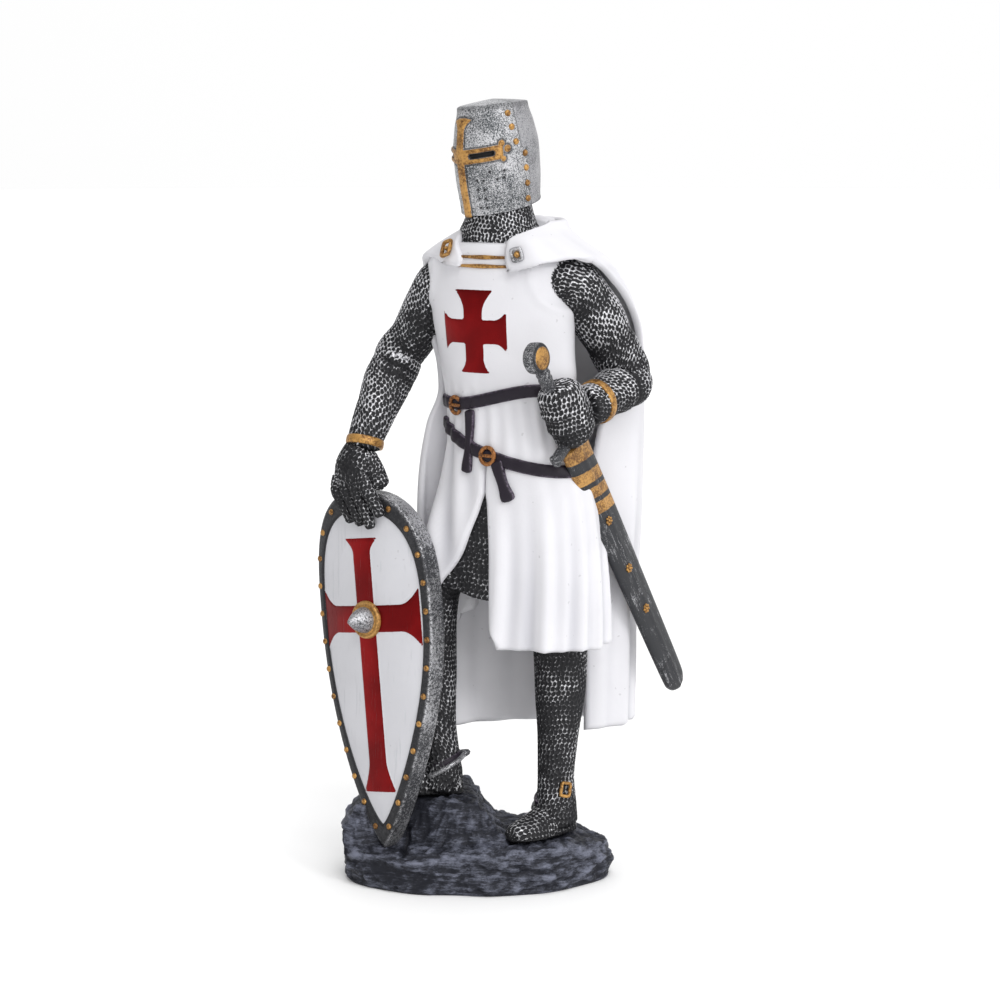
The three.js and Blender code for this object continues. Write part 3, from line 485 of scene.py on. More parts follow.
def grid_mesh(name, places, fields, keep=None):
    """A grid whose vertices lie at places. fields are numbers per vertex, keep says which faces stay."""
    rows, columns = places.shape[0] - 1, places.shape[1] - 1
    sheet = bmesh.new()
    bmesh.ops.create_grid(sheet, x_segments=columns, y_segments=rows, size=0.5)
    if keep is not None:
        loose = []
        for face in sheet.faces:
            centre = face.calc_center_median()
            if not keep[int((centre.y + 0.5) * rows), int((centre.x + 0.5) * columns)]:
                loose.append(face)
        bmesh.ops.delete(sheet, geom=loose, context="FACES")
    mesh = bpy.data.meshes.new(name)
    sheet.to_mesh(mesh)
    sheet.free()
    flat = np.empty(len(mesh.vertices) * 3)
    mesh.vertices.foreach_get("co", flat)
    flat = flat.reshape(-1, 3)
    i = np.rint((flat[:, 0] + 0.5) * columns).astype(int)
    j = np.rint((flat[:, 1] + 0.5) * rows).astype(int)
    mesh.vertices.foreach_set("co", (places[j, i] * MM).ravel())
    for label, values in fields.items():
        spread = np.broadcast_to(values, places.shape[:2])[j, i]
        mesh.attributes.new(label, "FLOAT", "POINT").data.foreach_set("value", spread.astype(np.float32))
    return mesh


weld_distance = 2e-6


def welded(mesh):
    body = bmesh.new()
    body.from_mesh(mesh)
    bmesh.ops.remove_doubles(body, verts=body.verts, dist=weld_distance)
    bmesh.ops.recalc_face_normals(body, faces=body.faces)
    for face in body.faces:
        face.smooth = True
    body.to_mesh(mesh)
    body.free()
    return mesh


built = []


def place_piece(name, mesh, paint, node):
    piece = bpy.data.objects.new(name, mesh)
    bpy.context.scene.collection.objects.link(piece)
    mesh.materials.append(paint)
    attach(piece, "root")
    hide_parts(node)
    triangles = sum(len(face.vertices) - 2 for face in mesh.polygons)
    built.append((name, triangles))
    print(name, triangles, "triangles")


def figure_piece(name, mesh, paint):
    place_piece(name, mesh, paint, "knight_on_rock")


def outward(places):
    """Directions square to a grid; where its side edges meet, they agree."""
    down = np.gradient(places, axis=0)
    along = np.gradient(places, axis=1)
    meets = np.linalg.norm(places[:, 0] - places[:, -1], axis=-1) < 1e-6
    around = places[:, 1] - places[:, -2]
    along[:, 0] = np.where(meets[:, None], around, along[:, 0])
    along[:, -1] = np.where(meets[:, None], around, along[:, -1])
    return unit(np.cross(along, down))


print("helpers ready")

# %% [markdown]
# ## Cast cloth
#
# Cloth on a cast statue is a thick sheet with soft, round edges. The grid is the outer side. Its
# second side lies one thickness deeper, and toward any free edge the two sides come together along
# a quarter circle each. How far a vertex is from the nearest free edge comes from a search tree of
# the edge's own vertices.

# %% Thick sheets with round edges
cloth_thickness = 1.8
not_red = -5.0


def rim_distance(places, keep, meets):
    """How far each vertex of a grid lies from the free edge."""
    rows, columns = keep.shape
    padded = np.zeros((rows + 2, columns + 2), bool)
    padded[1:-1, 1:-1] = keep
    padded[1:-1, 0] = keep[:, -1] & meets
    padded[1:-1, -1] = keep[:, 0] & meets
    corners = [padded[:-1, :-1], padded[:-1, 1:], padded[1:, :-1], padded[1:, 1:]]
    used = np.logical_or.reduce(corners)
    inner = np.logical_and.reduce(corners)
    rim = used & ~inner
    edge = places[rim]
    tree = kdtree.KDTree(len(edge))
    for n, spot in enumerate(edge):
        tree.insert(spot, n)
    tree.balance()
    distance = np.zeros(places.shape[:2])
    for j, i in zip(*np.nonzero(used & ~rim)):
        distance[j, i] = tree.find(places[j, i])[2]
    return distance


def cast_cloth(name, places, fields, keep=None):
    """A sheet of cloth_thickness, laid inwards from places, with round free edges."""
    rows, columns = places.shape[0] - 1, places.shape[1] - 1
    keep = np.ones((rows, columns), bool) if keep is None else keep
    meets = np.linalg.norm(places[:, 0] - places[:, -1], axis=-1) < 1e-6
    half = cloth_thickness / 2
    distance = rim_distance(places, keep, meets[:-1] & meets[1:])
    bulge = rounded(distance, half)[..., None] * half
    middle = places - outward(places) * half
    lift = outward(places) * bulge
    both = np.concatenate([middle + lift, (middle - lift)[:, ::-1]], axis=1)
    cells = np.concatenate([keep, np.zeros((rows, 1), bool), keep[:, ::-1]], axis=1)
    doubled = {}
    for label, values in fields.items():
        full = np.broadcast_to(values, places.shape[:2])
        doubled[label] = np.concatenate([full, np.full_like(full, full.min())], axis=1)
    return welded(grid_mesh(name, both, doubled, cells))


# %% [markdown]
# ## The body under the cloth
#
# One skin describes the surcoat from hem to neck: an oval at each height, pushed out by the bent
# right thigh and by the left arm, pressed in where the cloak lies behind, and creased by upright
# folds that grow toward the hem. A cloth simulation could make the folds, but a formula keeps the
# main ones where they are cast. The finer folds are only in this dressed version.

# %% The surcoat's skin
surcoat_hem, surcoat_top = 45.5, 136.8
body_rows = [
    (surcoat_hem, 9.4, 3.8, 22.4, 14.6, -3),
    (60, 9.3, 3.9, 22.1, 13.9, -3),
    (76, 8.8, 4, 21.2, 13, -3),
    (85, 8.4, 3.9, 19.5, 12.4, -2),
    (92.5, 8.1, 3.8, 17.4, 11.5, 0),
    (100.5, 7.3, 3, 15.7, 10.5, 3),
    (111, 6, 2.2, 15.8, 10.5, 5),
    (120, 5.4, 1.9, 16.4, 11.2, 7),
    (127, 5.3, 1.9, 17.2, 10.9, 7),
    (131, 5.3, 2, 17.6, 10.5, 7),
    (134.5, 5.4, 2, 15.2, 10.1, 7),
    (137, 5.5, 2, 12.2, 9.3, 7),
    (139, 5.6, 2, 9.2, 8.6, 7),
]
split_top = 81
split_edges = [
    (surcoat_hem, -77, -130),
    (50, -84, -125),
    (59.5, -86, -114.5),
    (67, -86.3, -102.5),
    (73, -87, -97),
    (78, -87.8, -91.5),
    (split_top, -89, -89),
]
coat_hem = 56.2


def body_folds(angle, z, fine=1.0):
    """The folds' height in millimetres, with all, some or none of the finer ones."""
    broad = (1 - ramp(50, 92, z)) * (0.65 * np.cos(9 * angle + 0.6) + 0.4 * np.cos(14 * angle - 1.1))
    small = 0.5 * np.cos(23 * angle + 0.7 * np.sin(z * 0.07) + 0.4) * (1 - ramp(52, 92, z))
    swept = 0.7 * np.cos(15 * angle + 0.20 * z) * hill(wrapped(angle), math.radians(-124), math.radians(24))
    small = small + swept * ramp(52, 66, z) * (1 - ramp(84, 98, z))
    small = small + 0.2 * np.cos(27 * angle + 2) * ramp(84, 92, z) * (1 - ramp(96, 108, z))
    return broad + fine * small


def body_skin(angle, z, fine=1.0):
    """The surcoat's outer skin. The angle runs round the body from the figure's left through its back."""
    x, y, wide, deep, turn = stations(body_rows, z)
    near = wrapped(angle)
    bent = 5 * hill(near, math.radians(-134), math.radians(32)) * (1 - ramp(62, 90, z))
    bent = bent * (1 + 0.3 * (1 - ramp(46, 60, z)))
    behind = wrapped(near - math.pi)
    pressed = 5.6 * hill(behind, math.radians(-22), math.radians(46)) * (1 - ramp(80, 98, z))
    pressed = pressed + 3.6 * hill(behind, math.radians(11), math.radians(21)) * (1 - ramp(64, 82, z))
    under_arm = 2.2 * hill(near, math.radians(-4), math.radians(34))
    under_arm = under_arm * ramp(98, 108, z) * (1 - ramp(119, 127, z))
    extra = bent - pressed + under_arm + body_folds(angle, z, fine)
    return turned_oval(x, y, (wide + extra) * np.cos(angle), (deep + extra) * np.sin(angle), turn, z + slab)


print("hem of the surcoat", body_skin(np.array([0.0]), np.array([surcoat_hem])).round(1))

# %% [markdown]
# ## The surcoat
#
# A white coat without sleeves, split in front almost up to the belts. Panels could be sewn
# together, as a tailor does, but one sheet has no seam to hide. Its two front edges lie at the
# split: above it they meet and are merged, so the upper body is a closed tube, and below it they
# part over the mail coat. The cross with widening arms on the chest is a distance measured on the
# cloth.

# %% Surcoat


def flared_arm(side, along, half, reach, end, length, curve=2.0):
    """Distance inside one arm of a cross: half its width, its reach, and the half width of its end."""
    flare = np.clip((along - reach + length) / length, 0, 1) ** curve
    return np.minimum(half + (end - half) * flare - np.abs(side), np.minimum(reach - along, along + half))


def surcoat():
    columns, rows = 178, 166
    z = np.linspace(surcoat_hem, surcoat_top, rows + 1)[:, None]
    share = np.linspace(0, 1, columns + 1)[None, :]
    left, right = (np.radians(edge) for edge in stations(split_edges, np.minimum(z, split_top)))
    angle = mix(left, right + TAU, share)
    lifted = 10.5 * hill(angle, math.radians(145), math.radians(40))
    z = z + lifted * (1 - ramp(surcoat_hem, 90, z))
    places = body_skin(angle, z)
    spot = unit(point(math.cos(math.radians(7)), math.sin(math.radians(7)), 0))
    across = (places - np.array([5.5, -9, 0])) @ spot
    x, up = across * (1 + 0.0016 * across ** 2) - 0.2, z - 116.7
    red = np.maximum.reduce([
        flared_arm(x, up, 2.4, 9.35, 5.2, 5.2), flared_arm(x, -up, 2.4, 9.35, 4.1, 3.2),
        flared_arm(up, x, 2.7, 8.9, 4.9, 3.4), flared_arm(up, -x, 2.7, 8.9, 4.5, 3.0),
    ])
    red = np.where(np.sin(angle) < -0.15, red, not_red)
    chest = 0.14 * ramp(-0.3, 0.2, red)
    for shoulder, reach in (((21, 3.5, 129), 8.4), ((-9.5, 1, 129.5), 8.2)):
        away = np.linalg.norm(places - np.array(shoulder) - np.array([0, 0, slab]), axis=-1)
        chest = chest + 0.5 * hill(away, reach, 1.1)
    places = places + outward(places) * chest[..., None]
    # Painted shade for the paint: 1 in the valleys of the folds, where they are greyed.
    fold_shade = ramp(0.2, -1.1, body_folds(angle, z))
    return cast_cloth("surcoat", places, {"red": red, "fold_shade": fold_shade})


figure_piece("surcoat", surcoat(), cloth_white)

# %% [markdown]
# ## The cloak
#
# The cloak hangs from the shoulders behind both arms. Over the shoulders it reaches farther round
# to the throat, so its sheet has the outline of a T. A mantle and a cloak could be two sheets, but
# here the lower corners of one grid are cut away, so that the folds run on over the shoulder.

# %% Cloak
cloak_hem, mantle_hem, cloak_top = 23, 133, 141.5
cloak_rows = [
    (cloak_hem, 4.9, 9.6, 28.3, 10, 54),
    (36, 5.3, 9.6, 27.9, 11, 52.5),
    (50, 5.8, 9.6, 27.4, 12, 51),
    (76, 6.6, 9.4, 28, 12.2, 48),
    (100, 7, 8.8, 28.2, 11, 44),
    (108, 7, 8.6, 28, 10.4, 41),
    (115, 7, 8.2, 27.6, 10, 36),
    (123, 7, 7.4, 26, 10, 27),
    (129, 7.3, 5.6, 24.2, 11.4, 16),
    (mantle_hem, 8.2, 3.7, 22.2, 13.1, 9),
    (135, 8.3, 3.4, 19.4, 12.9, 8),
    (137.5, 8.3, 3.6, 15.2, 12.1, 8),
    (139.5, 8.2, 4.5, 12.2, 11.2, 8),
    (cloak_top, 8.1, 5.8, 11, 10.2, 8),
]
cloak_edges = [
    (cloak_hem, -60, 152),
    (50, -62, 151),
    (76, -62, 149),
    (94, -56, 140),
    (102, -36, 132),
    (108, -14, 134),
    (115, -6, 142),
    (123, -8, 154),
    (128, -11, 163),
    (131, -13, 177),
    (132.9, -14, 206),
]
mantle_edges = [
    (mantle_hem, -79, 250),
    (134.5, -79, 249),
    (137.5, -77, 230),
    (139.5, -54, 214),
    (cloak_top, -26, 200),
]


def cloak_folds(angle, z):
    reach = 1 - ramp(30, 118, z)
    folds = reach * (0.75 * np.sin(8 * angle + 0.4) + 0.5 * np.sin(13 * angle + 1.9))
    draped = 0.3 * np.sin(11 * angle + 0.14 * z) * ramp(117, 126, z) * (1 - ramp(136, 141, z))
    return folds + draped + 0.3 * np.sin(21 * angle + 0.8 + 0.5 * np.sin(z * 0.05)) * (1 - ramp(40, 104, z))


def mantle_dip(angle, z):
    """The mantle hangs lowest at its two front corners."""
    corners = 2.9 * hill(angle, math.radians(-76), math.radians(22))
    corners = corners + 2.1 * hill(angle, math.radians(249), math.radians(22))
    return corners * (1 - ramp(mantle_hem, 139, z)) * (z >= mantle_hem)


def cloak_skin(angle, z):
    """The cloak's outer skin, an oval turned behind the body."""
    x, y, long, wide, turn = stations(cloak_rows, z)
    extra = cloak_folds(angle, z)
    return turned_oval(x, y, (long + extra) * np.cos(angle), (wide + extra) * np.sin(angle), turn, z + slab)


def cloak():
    flap, back = 26, 142
    hanging = np.linspace(cloak_hem, mantle_hem, 150)
    shoulder = np.linspace(mantle_hem, cloak_top, 22)[1:]
    z = np.concatenate([hanging, shoulder])[:, None]
    left, right = (np.radians(edge) for edge in stations(cloak_edges, np.minimum(z, cloak_edges[-1][0])))
    front, far = (np.radians(edge) for edge in stations(mantle_edges, np.maximum(z, mantle_hem)))
    column = np.arange(2 * flap + back + 1)[None, :]
    angle = mix(left, right, np.clip((column - flap) / back, 0, 1))
    angle = np.where(column < flap, mix(front, left, column / flap), angle)
    angle = np.where(column > flap + back, mix(right, far, (column - flap - back) / flap), angle)
    places = cloak_skin(angle, z)
    in_flap = ramp(0, 1, np.maximum((flap - column) / 3, (column - flap - back) / 3))
    places[..., 2] -= mantle_dip(angle, z) * np.maximum(in_flap, z > mantle_hem + 0.2)
    # Painted shade for the paint: 1 in the valleys of the folds, where they are greyed.
    fold_shade = ramp(0.1, -1.3, cloak_folds(angle, z))
    keep = np.ones((len(z) - 1, column.size - 1), bool)
    keep[: len(hanging) - 1, :flap] = False
    keep[: len(hanging) - 1, flap + back:] = False
    return cast_cloth("cloak", places, {"red": not_red, "fold_shade": fold_shade}, keep)


figure_piece("cloak", cloak(), cloth_white)

# %% [markdown]
# ## Rings of mail
#
# Cast mail is a net of low ridges around small D-shaped eyes, in rows that are staggered like
# bricks. Real links would be far too many, and a bump in the shader alone would leave the outline
# of the arms smooth. So one function gives the height of the net at any place on a skin, and a limb
# is a tube of quads fine enough to carry it, four or five to a ring.

# %% Mail relief and limbs
ring_pitch = 1.05
ring_rise = 1.17
ring_depth = 0.3


def mail_rings(across, along):
    """1 on the wires of the rings and 0 in their eyes, from two measures in millimetres."""
    wavy_across = across + 0.32 * np.sin(0.5 * along + 0.2 * across)
    along = along + 0.36 * np.sin(0.45 * across + 2) + 0.2 * np.sin(1.1 * across)
    row = np.floor(along / ring_rise)
    a = wavy_across / ring_pitch + 0.5 * (row % 2) + 0.12 * np.sin(row * 2.7)
    column = np.floor(a)
    chance = np.sin(row * 12.9898 + column * 78.233) * 43758.5453
    chance = chance - np.floor(chance)
    a = a - column - 0.5
    b = along / ring_rise - row - 0.5
    eye = np.hypot((a + 0.04) / 0.41, (b + 0.02) / 0.43) + 0.5 * np.maximum(0, -a - 0.2)
    return ramp(0.78, 1.2, eye + 0.36 * (chance - 0.5))


def frames_along(rows, side, count):
    """Centres, axes and radii of rings that are evenly spaced along a path of stations."""
    table = [(n, *row) for n, row in enumerate(rows)]
    last = len(rows) - 1
    fine = np.linspace(0, last, 400)
    run = run_along(np.stack(stations(table, fine)[:3], axis=-1))
    along = np.linspace(0, run[-1], count + 1)
    t = np.interp(along, run, fine)
    x, y, z, wide, deep = stations(table, t)
    after = np.stack(stations(table, np.minimum(t + 0.25, last))[:3], axis=-1)
    before = np.stack(stations(table, np.maximum(t - 0.25, 0))[:3], axis=-1)
    ahead = unit(after - before)
    side = np.asarray(side, float)
    across = unit(side - ahead * (ahead @ side)[:, None])
    up = np.cross(ahead, across)
    return along, point(x, y, z + slab), across, up, wide, deep, t


def mailed(places, across_mm, along_mm):
    """Lifts the rings out of a grid. The relief dies away at the seam, so that its sides meet."""
    relief = mail_rings(across_mm, along_mm)
    seam = 0.8
    calm = ramp(0, seam, np.abs(across_mm[:, :1]) - np.abs(across_mm))
    relief = mix(0.5, relief, calm)
    out = outward(places)
    caught = relief + 0.16 * out[..., 2] - 0.04
    return places + out * ((relief - 0.5) * ring_depth)[..., None], caught


def with_poles(places):
    """Draws the first and last ring of a grid together, so that its ends are closed."""
    places[0] = places[0].mean(axis=0)
    places[-1] = places[-1].mean(axis=0)
    return places


def limb(rows, side, step, seam_angle=0.0, shape=None, close=1.5):
    """The bare tube of a limb with round closed ends, its two measures in millimetres, its swell."""
    table = np.array(rows, float)
    length = np.linalg.norm(np.diff(table[:, :3], axis=0), axis=1).sum()
    around = math.pi * (table[:, 3] + table[:, 4])
    columns = int(around.max() / step)
    along, centre, across, up, wide, deep, t = frames_along(rows, side, int(length / step))
    angle = full_turn(columns) + seam_angle
    shut = rounded(np.minimum(along, along[-1] - along), close)
    swell = 0 * t[:, None] * angle if shape is None else shape(t[:, None], wrapped(angle))
    grow = 1 + swell
    wide = (wide * shut)[:, None] * grow
    deep = (deep * shut)[:, None] * grow
    places = (centre[:, None] + across[:, None] * (wide * np.cos(angle))[..., None]
              + up[:, None] * (deep * np.sin(angle))[..., None])
    girth = math.pi * (wide + deep)[:, :1]
    across_mm = np.linspace(-0.5, 0.5, columns + 1)[None, :] * np.maximum(girth, 2)
    steps = np.linalg.norm(np.diff(places, axis=0), axis=-1)
    along_mm = np.concatenate([np.zeros((1, columns + 1)), np.cumsum(steps, axis=0)])
    return places, across_mm, along_mm, swell


def mail_limb(name, rows, side, seam_angle, shape=None, step=0.235, close=1.5, paint=mail, finer=1.0):
    places, across_mm, along_mm, swell = limb(rows, side, step, seam_angle, shape, close)
    places, relief = mailed(places, across_mm * finer, along_mm * finer)
    # The swell goes into the paint too: bulges take more silver, as worn mail does, and creases are darkened
    # as painted shade.
    relief = relief + 4 * swell
    figure_piece(name, welded(grid_mesh(name, with_poles(places), {"relief": relief})), paint)


print("a ring is", ring_pitch, "by", ring_rise, "mm")

# %% [markdown]
# ## Legs and arms
#
# The limbs are tubes through the same stations as the cast ones: x, y, height above the rock, and
# two radii. The Skin modifier could make them too, but its faces are too uneven to carry the
# rings. The sleeves bag at the elbow over short creases. The bulges take more silver, as worn mail
# does, and the creases are darkened with painted shade.

# %% Legs and arms
step_height = 9
left_leg = [
    (14.8, 4, 80, 7.5, 7.5),
    (16.6, 6.8, 60, 7, 7.4),
    (17.4, 8.6, 46, 6.1, 6.5),
    (17, 9.4, 34, 5.6, 6),
    (16.4, 9.3, 22, 4.4, 4.8),
    (16, 9.2, 13, 3.9, 4.5),
    (16, 9.4, 6, 4.1, 5.4),
    (16, 9.6, 1, 4.1, 6),
]
right_leg = [
    (3.5, 2, 80, 7.4, 7.4),
    (-4, -2.6, 66, 6.4, 6.8),
    (-8.2, -4.9, 56, 5.5, 6),
    (-8.9, -5.4, 47, 5.6, 6),
    (-8.9, -5.2, 38, 5.6, 5.8),
    (-8.2, -4.8, step_height + 17, 4.6, 4.8),
    (-7.2, -4, step_height + 9, 4, 4.4),
    (-6.9, -3.8, step_height + 4, 4.4, 4.8),
    (-7.4, -4, step_height, 4.4, 5.2),
]
right_arm = [
    (-4, 1, 128.6, 5.2, 6),
    (-9.6, 0.8, 127, 5.2, 6),
    (-13.6, 0.5, 121.4, 5.2, 5.8),
    (-18.2, 0.9, 114, 5.2, 5.5),
    (-22.2, 0.2, 108.6, 5.4, 5.4),
    (-22, -3.6, 104.2, 5.6, 5.4),
    (-20.8, -9.4, 98.4, 4.7, 4.7),
    (-20.6, -12.5, 94.4, 4.3, 4.3),
    (-20.8, -14.2, 91.2, 3.9, 3.9),
    (-20.9, -15, 88.6, 3.8, 3.7),
]
left_upper_arm = [
    (17, 4, 129, 5.6, 6),
    (22.2, 5.8, 127.6, 5.8, 6),
    (24.2, 8.7, 123.6, 5.7, 5.9),
    (26.2, 12.6, 117, 5.7, 5.8),
    (27.4, 16.4, 111, 5.6, 5.7),
    (28.6, 18.8, 106.8, 5.2, 5.5),
    (29, 19.6, 104, 4, 4.4),
    (29.1, 19.9, 102.5, 1.8, 2),
]
left_forearm = [
    (28.9, 23, 105.8, 1.6, 1.8),
    (29.1, 21.6, 105.3, 4, 4.2),
    (29.3, 18.6, 104.4, 5.2, 5.4),
    (29.4, 14.8, 103.4, 5.1, 5.4),
    (29.3, 11.6, 102.8, 4.9, 5.2),
    (29.4, 5.4, 101.2, 4.5, 4.7),
    (28.6, 1, 100.2, 4.6, 4.9),
]
side_x = (1, 0, 0)
side_z = (0, 0, 1)


def sleeve_rolls(t, angle):
    """The elbow bags toward the camera, over three short creases."""
    camera_side = 0.96
    seen = hill(angle, camera_side, 0.9)
    bow = t + 0.35 * (angle - camera_side) ** 2 * seen
    creases = sum(deep * hill(bow, at, 0.12) for at, deep in ((3.25, 0.06), (4.85, 0.15), (5.25, 0.09)))
    return seen * (0.19 * hill(t, 4.1, 0.5) - creases)


def left_rolls(t, _):
    return 0.05 * hill(t, 2.6, 0.4) - 0.05 * hill(t, 3.4, 0.25)


def forearm_rolls(t, angle):
    seen = hill(angle, 1.2, 1.1)
    return 0.05 * hill(t, 2.1, 0.3) - (0.08 + 0.06 * seen) * hill(t, 2.9, 0.22) + 0.04 * hill(t, 3.7, 0.4)


mail_limb("leg_left", left_leg[1:], side_x, seam_angle=-quarter, step=0.262, paint=dark_mail)
mail_limb("leg_right", right_leg[1:], side_x, seam_angle=-quarter, step=0.262, paint=dark_mail)
mail_limb("arm_right", right_arm, side_x, seam_angle=-quarter, shape=sleeve_rolls)
mail_limb("arm_left_upper", left_upper_arm, side_z, seam_angle=-quarter, shape=left_rolls, close=1.0)
mail_limb("arm_left_fore", left_forearm, side_z, seam_angle=quarter, shape=forearm_rolls, close=1.0)

# %% [markdown]
# ## Shoes
#
# The mail runs on over the feet, down to a flat sole. A shoe is a tube from heel to toe whose lower
# half is pressed almost flat, so the net of rings can be the same as on the legs. The sole keeps
# its black ground.

# %% Shoes
shoe_rows = [
    (0, 1.8, 3),
    (0.08, 3.2, 6.6),
    (0.3, 3.9, 7.4),
    (0.5, 4.3, 5.8),
    (0.68, 4.7, 4.4),
    (0.85, 3.9, 3.2),
    (0.96, 2.1, 2.2),
    (1, 0.8, 1.4),
]
left_shoe = np.array([(15.7, 15.4, 0.2), (13.8, -6.2, 0.9)])
right_shoe = np.array([(-3.2, -0.6, step_height + 0.2), (-19.2, -12.6, step_height + 0.3)])


def shoe(name, heel, toe):
    ahead = toe - heel
    long = np.linalg.norm(ahead)
    side = unit(np.cross((0, 0, 1), ahead))
    share = np.linspace(0, 1, int(long / 0.22) + 1)[:, None]
    wide, high = stations(shoe_rows, share)
    columns = 110
    angle = full_turn(columns) - quarter
    shut = rounded(np.minimum(share, 1 - share) * long, 1.2)
    rise = np.sin(angle)
    lift = np.where(rise > 0, rise * high, rise * 0.6) * shut
    base = heel + share[..., None] * ahead + np.array([0, 0, slab])
    places = base + side * (wide * shut * np.cos(angle))[..., None] + point(0, 0, lift)
    across_mm = np.linspace(-0.5, 0.5, columns + 1)[None, :] * (wide + high) * 3.1
    along_mm = np.broadcast_to(share * long, across_mm.shape)
    places, relief = mailed(places, across_mm, along_mm)
    places = with_poles(places)
    sole = places[..., 2] - (heel[2] + slab) < 0.5
    relief = np.where(sole, 0.1, relief)
    figure_piece(name, welded(grid_mesh(name, places, {"relief": relief})), dark_mail)


shoe("shoe_left", *left_shoe)
shoe("shoe_right", *right_shoe)

# %% [markdown]
# ## The mail coat and the collar
#
# Under the surcoat a mail coat shows as a dark wedge at the split. It is a closed drum just inside
# the surcoat. Only the part that shows is made fine, because the hidden rings would take several
# times as many faces. At the neck a mail collar rises into the helm, a short limb like the others.

# %% Mail coat and collar


def mail_coat():
    first, last = -150, -74
    shown = np.radians(np.linspace(first, last, 130))
    rest = np.radians(np.linspace(last, first + 360, 60))[1:]
    angle = np.concatenate([shown, rest])[None, :]
    hem = coat_hem + 3.4 * hill(wrapped(angle), math.radians(-128), math.radians(24))
    z = mix(hem, split_top + 3, np.linspace(0, 1, 120)[:, None])
    skin = body_skin(angle, z, fine=0)
    places = skin - outward(skin) * cloth_thickness * 0.8
    across_mm, along_mm = np.broadcast_arrays((angle - math.radians(-115)) * 17.5, z)
    relief = mail_rings(across_mm, along_mm)
    inside = (angle > math.radians(first + 1)) & (angle < math.radians(last - 1))
    relief = np.where(inside, relief, 0.5)
    places = places + outward(places) * ((relief - 0.5) * ring_depth)[..., None]
    middle = places.mean(axis=1, keepdims=True)
    under = [middle[:1] + (places[:1] - middle[:1]) * share for share in (0, 0.35, 0.7, 0.97)]
    over = [middle[-1:] + (places[-1:] - middle[-1:]) * share for share in (0.6, 0)]
    solid = np.concatenate([*under, places, *over])
    full = np.concatenate([np.full((4, angle.size), 0.1), relief, np.full((2, angle.size), 0.1)])
    return welded(grid_mesh("mail_coat", solid, {"relief": full}))


figure_piece("mail_coat", mail_coat(), shaded_mail)
collar_rows = [
    (5.5, 2, 133.5, 11.4, 7.6),
    (5.5, 2, 136.3, 11.6, 8.6),
    (5.6, 1.6, 138.8, 9.5, 8.3),
    (5.7, 1.3, 142, 7.8, 7.5),
    (5.7, 1, 145.5, 7.1, 7),
    (5.6, 0.8, 149, 6.8, 6.8),
]
mail_limb("mail_collar", collar_rows, side_x, seam_angle=quarter, step=0.245, finer=1.15)

# %% [markdown]
# ## The hood
#
# The cloak's hood lies folded on the back, thick at its rim and drawn to a soft point below. It
# could be draped, but folded and cast it is one soft lump, and a flattened tube gives that.

# %% Hood
hood_rows = [
    (7.5, 16.2, 112, 1.2, 0.6),
    (7.4, 17, 117, 4.5, 1.6),
    (7.2, 17.2, 124, 8, 2.6),
    (7, 16.6, 131, 9.6, 3.2),
    (6.9, 14.8, 136.5, 9.4, 3.4),
    (6.9, 12.8, 140, 7.4, 2.6),
    (6.9, 11.8, 141.4, 3, 1.2),
]


def hood_folds(t, angle):
    return 0.05 * np.sin(7 * angle + 2 * t) * ramp(0.5, 2.5, t)


hood_places, *_ = limb(hood_rows, side_x, 0.5, shape=hood_folds)
hood_mesh = grid_mesh("hood", hood_places, {"red": not_red, "fold_shade": 0.0})
figure_piece("hood", welded(hood_mesh), cloth_white)

# %% [markdown]
# ## The great helm
#
# A flat-topped helm with a keel in front. Gilt bands cross the face at the eye slits, and a row of
# gilt rivets closes the seam to the rear plate on each side. The bands could be strips laid on the
# helm, but strips this thin are hard to bend over a keel. So bands, slits and breath holes are
# distances on one fine grid, in millimetres, more than nothing inside each mark.

# %% Helm
helm_length, helm_width, helm_height = 21, 17.4, 23
helm_foot = np.array([5.9, 1.8, 144.6 + slab])
helm_up = unit(np.array([5.5, -1.1, 167.2 + slab]) - helm_foot)
helm_ahead = np.array([-math.sin(math.radians(13)), -math.cos(math.radians(13)), 0])
helm_ahead = unit(helm_ahead - helm_up * (helm_ahead @ helm_up))
helm_left = np.cross(helm_up, helm_ahead)
helm_rows = [(0, 0.93, 0.965), (0.3, 0.99, 1), (0.55, 1.01, 1), (0.8, 0.93, 0.925), (1, 0.825, 0.84)]


def helm_skin(phase, level, size=1.0):
    long, wide = stations(helm_rows, np.clip(level, 0, 1))
    keel = 1 + 0.045 * hill(wrapped(phase), 0, 0.3)
    ahead = helm_length / 2 * long * keel * np.cos(phase) * size
    left = helm_width / 2 * wide * np.sin(phase) * size
    dip = 0.3 * level + (0.3 - 0.6 * np.cos(phase - math.radians(48))) * level ** 3
    up = helm_height * level + (0.9 * (level - 1) * np.cos(phase) - dip) * size
    return (helm_foot + ahead[..., None] * helm_ahead + left[..., None] * helm_left
            + np.asarray(up)[..., None] * helm_up)


def disc(x, y, cx, cy, radius):
    return radius - np.hypot(x - cx, y - cy)


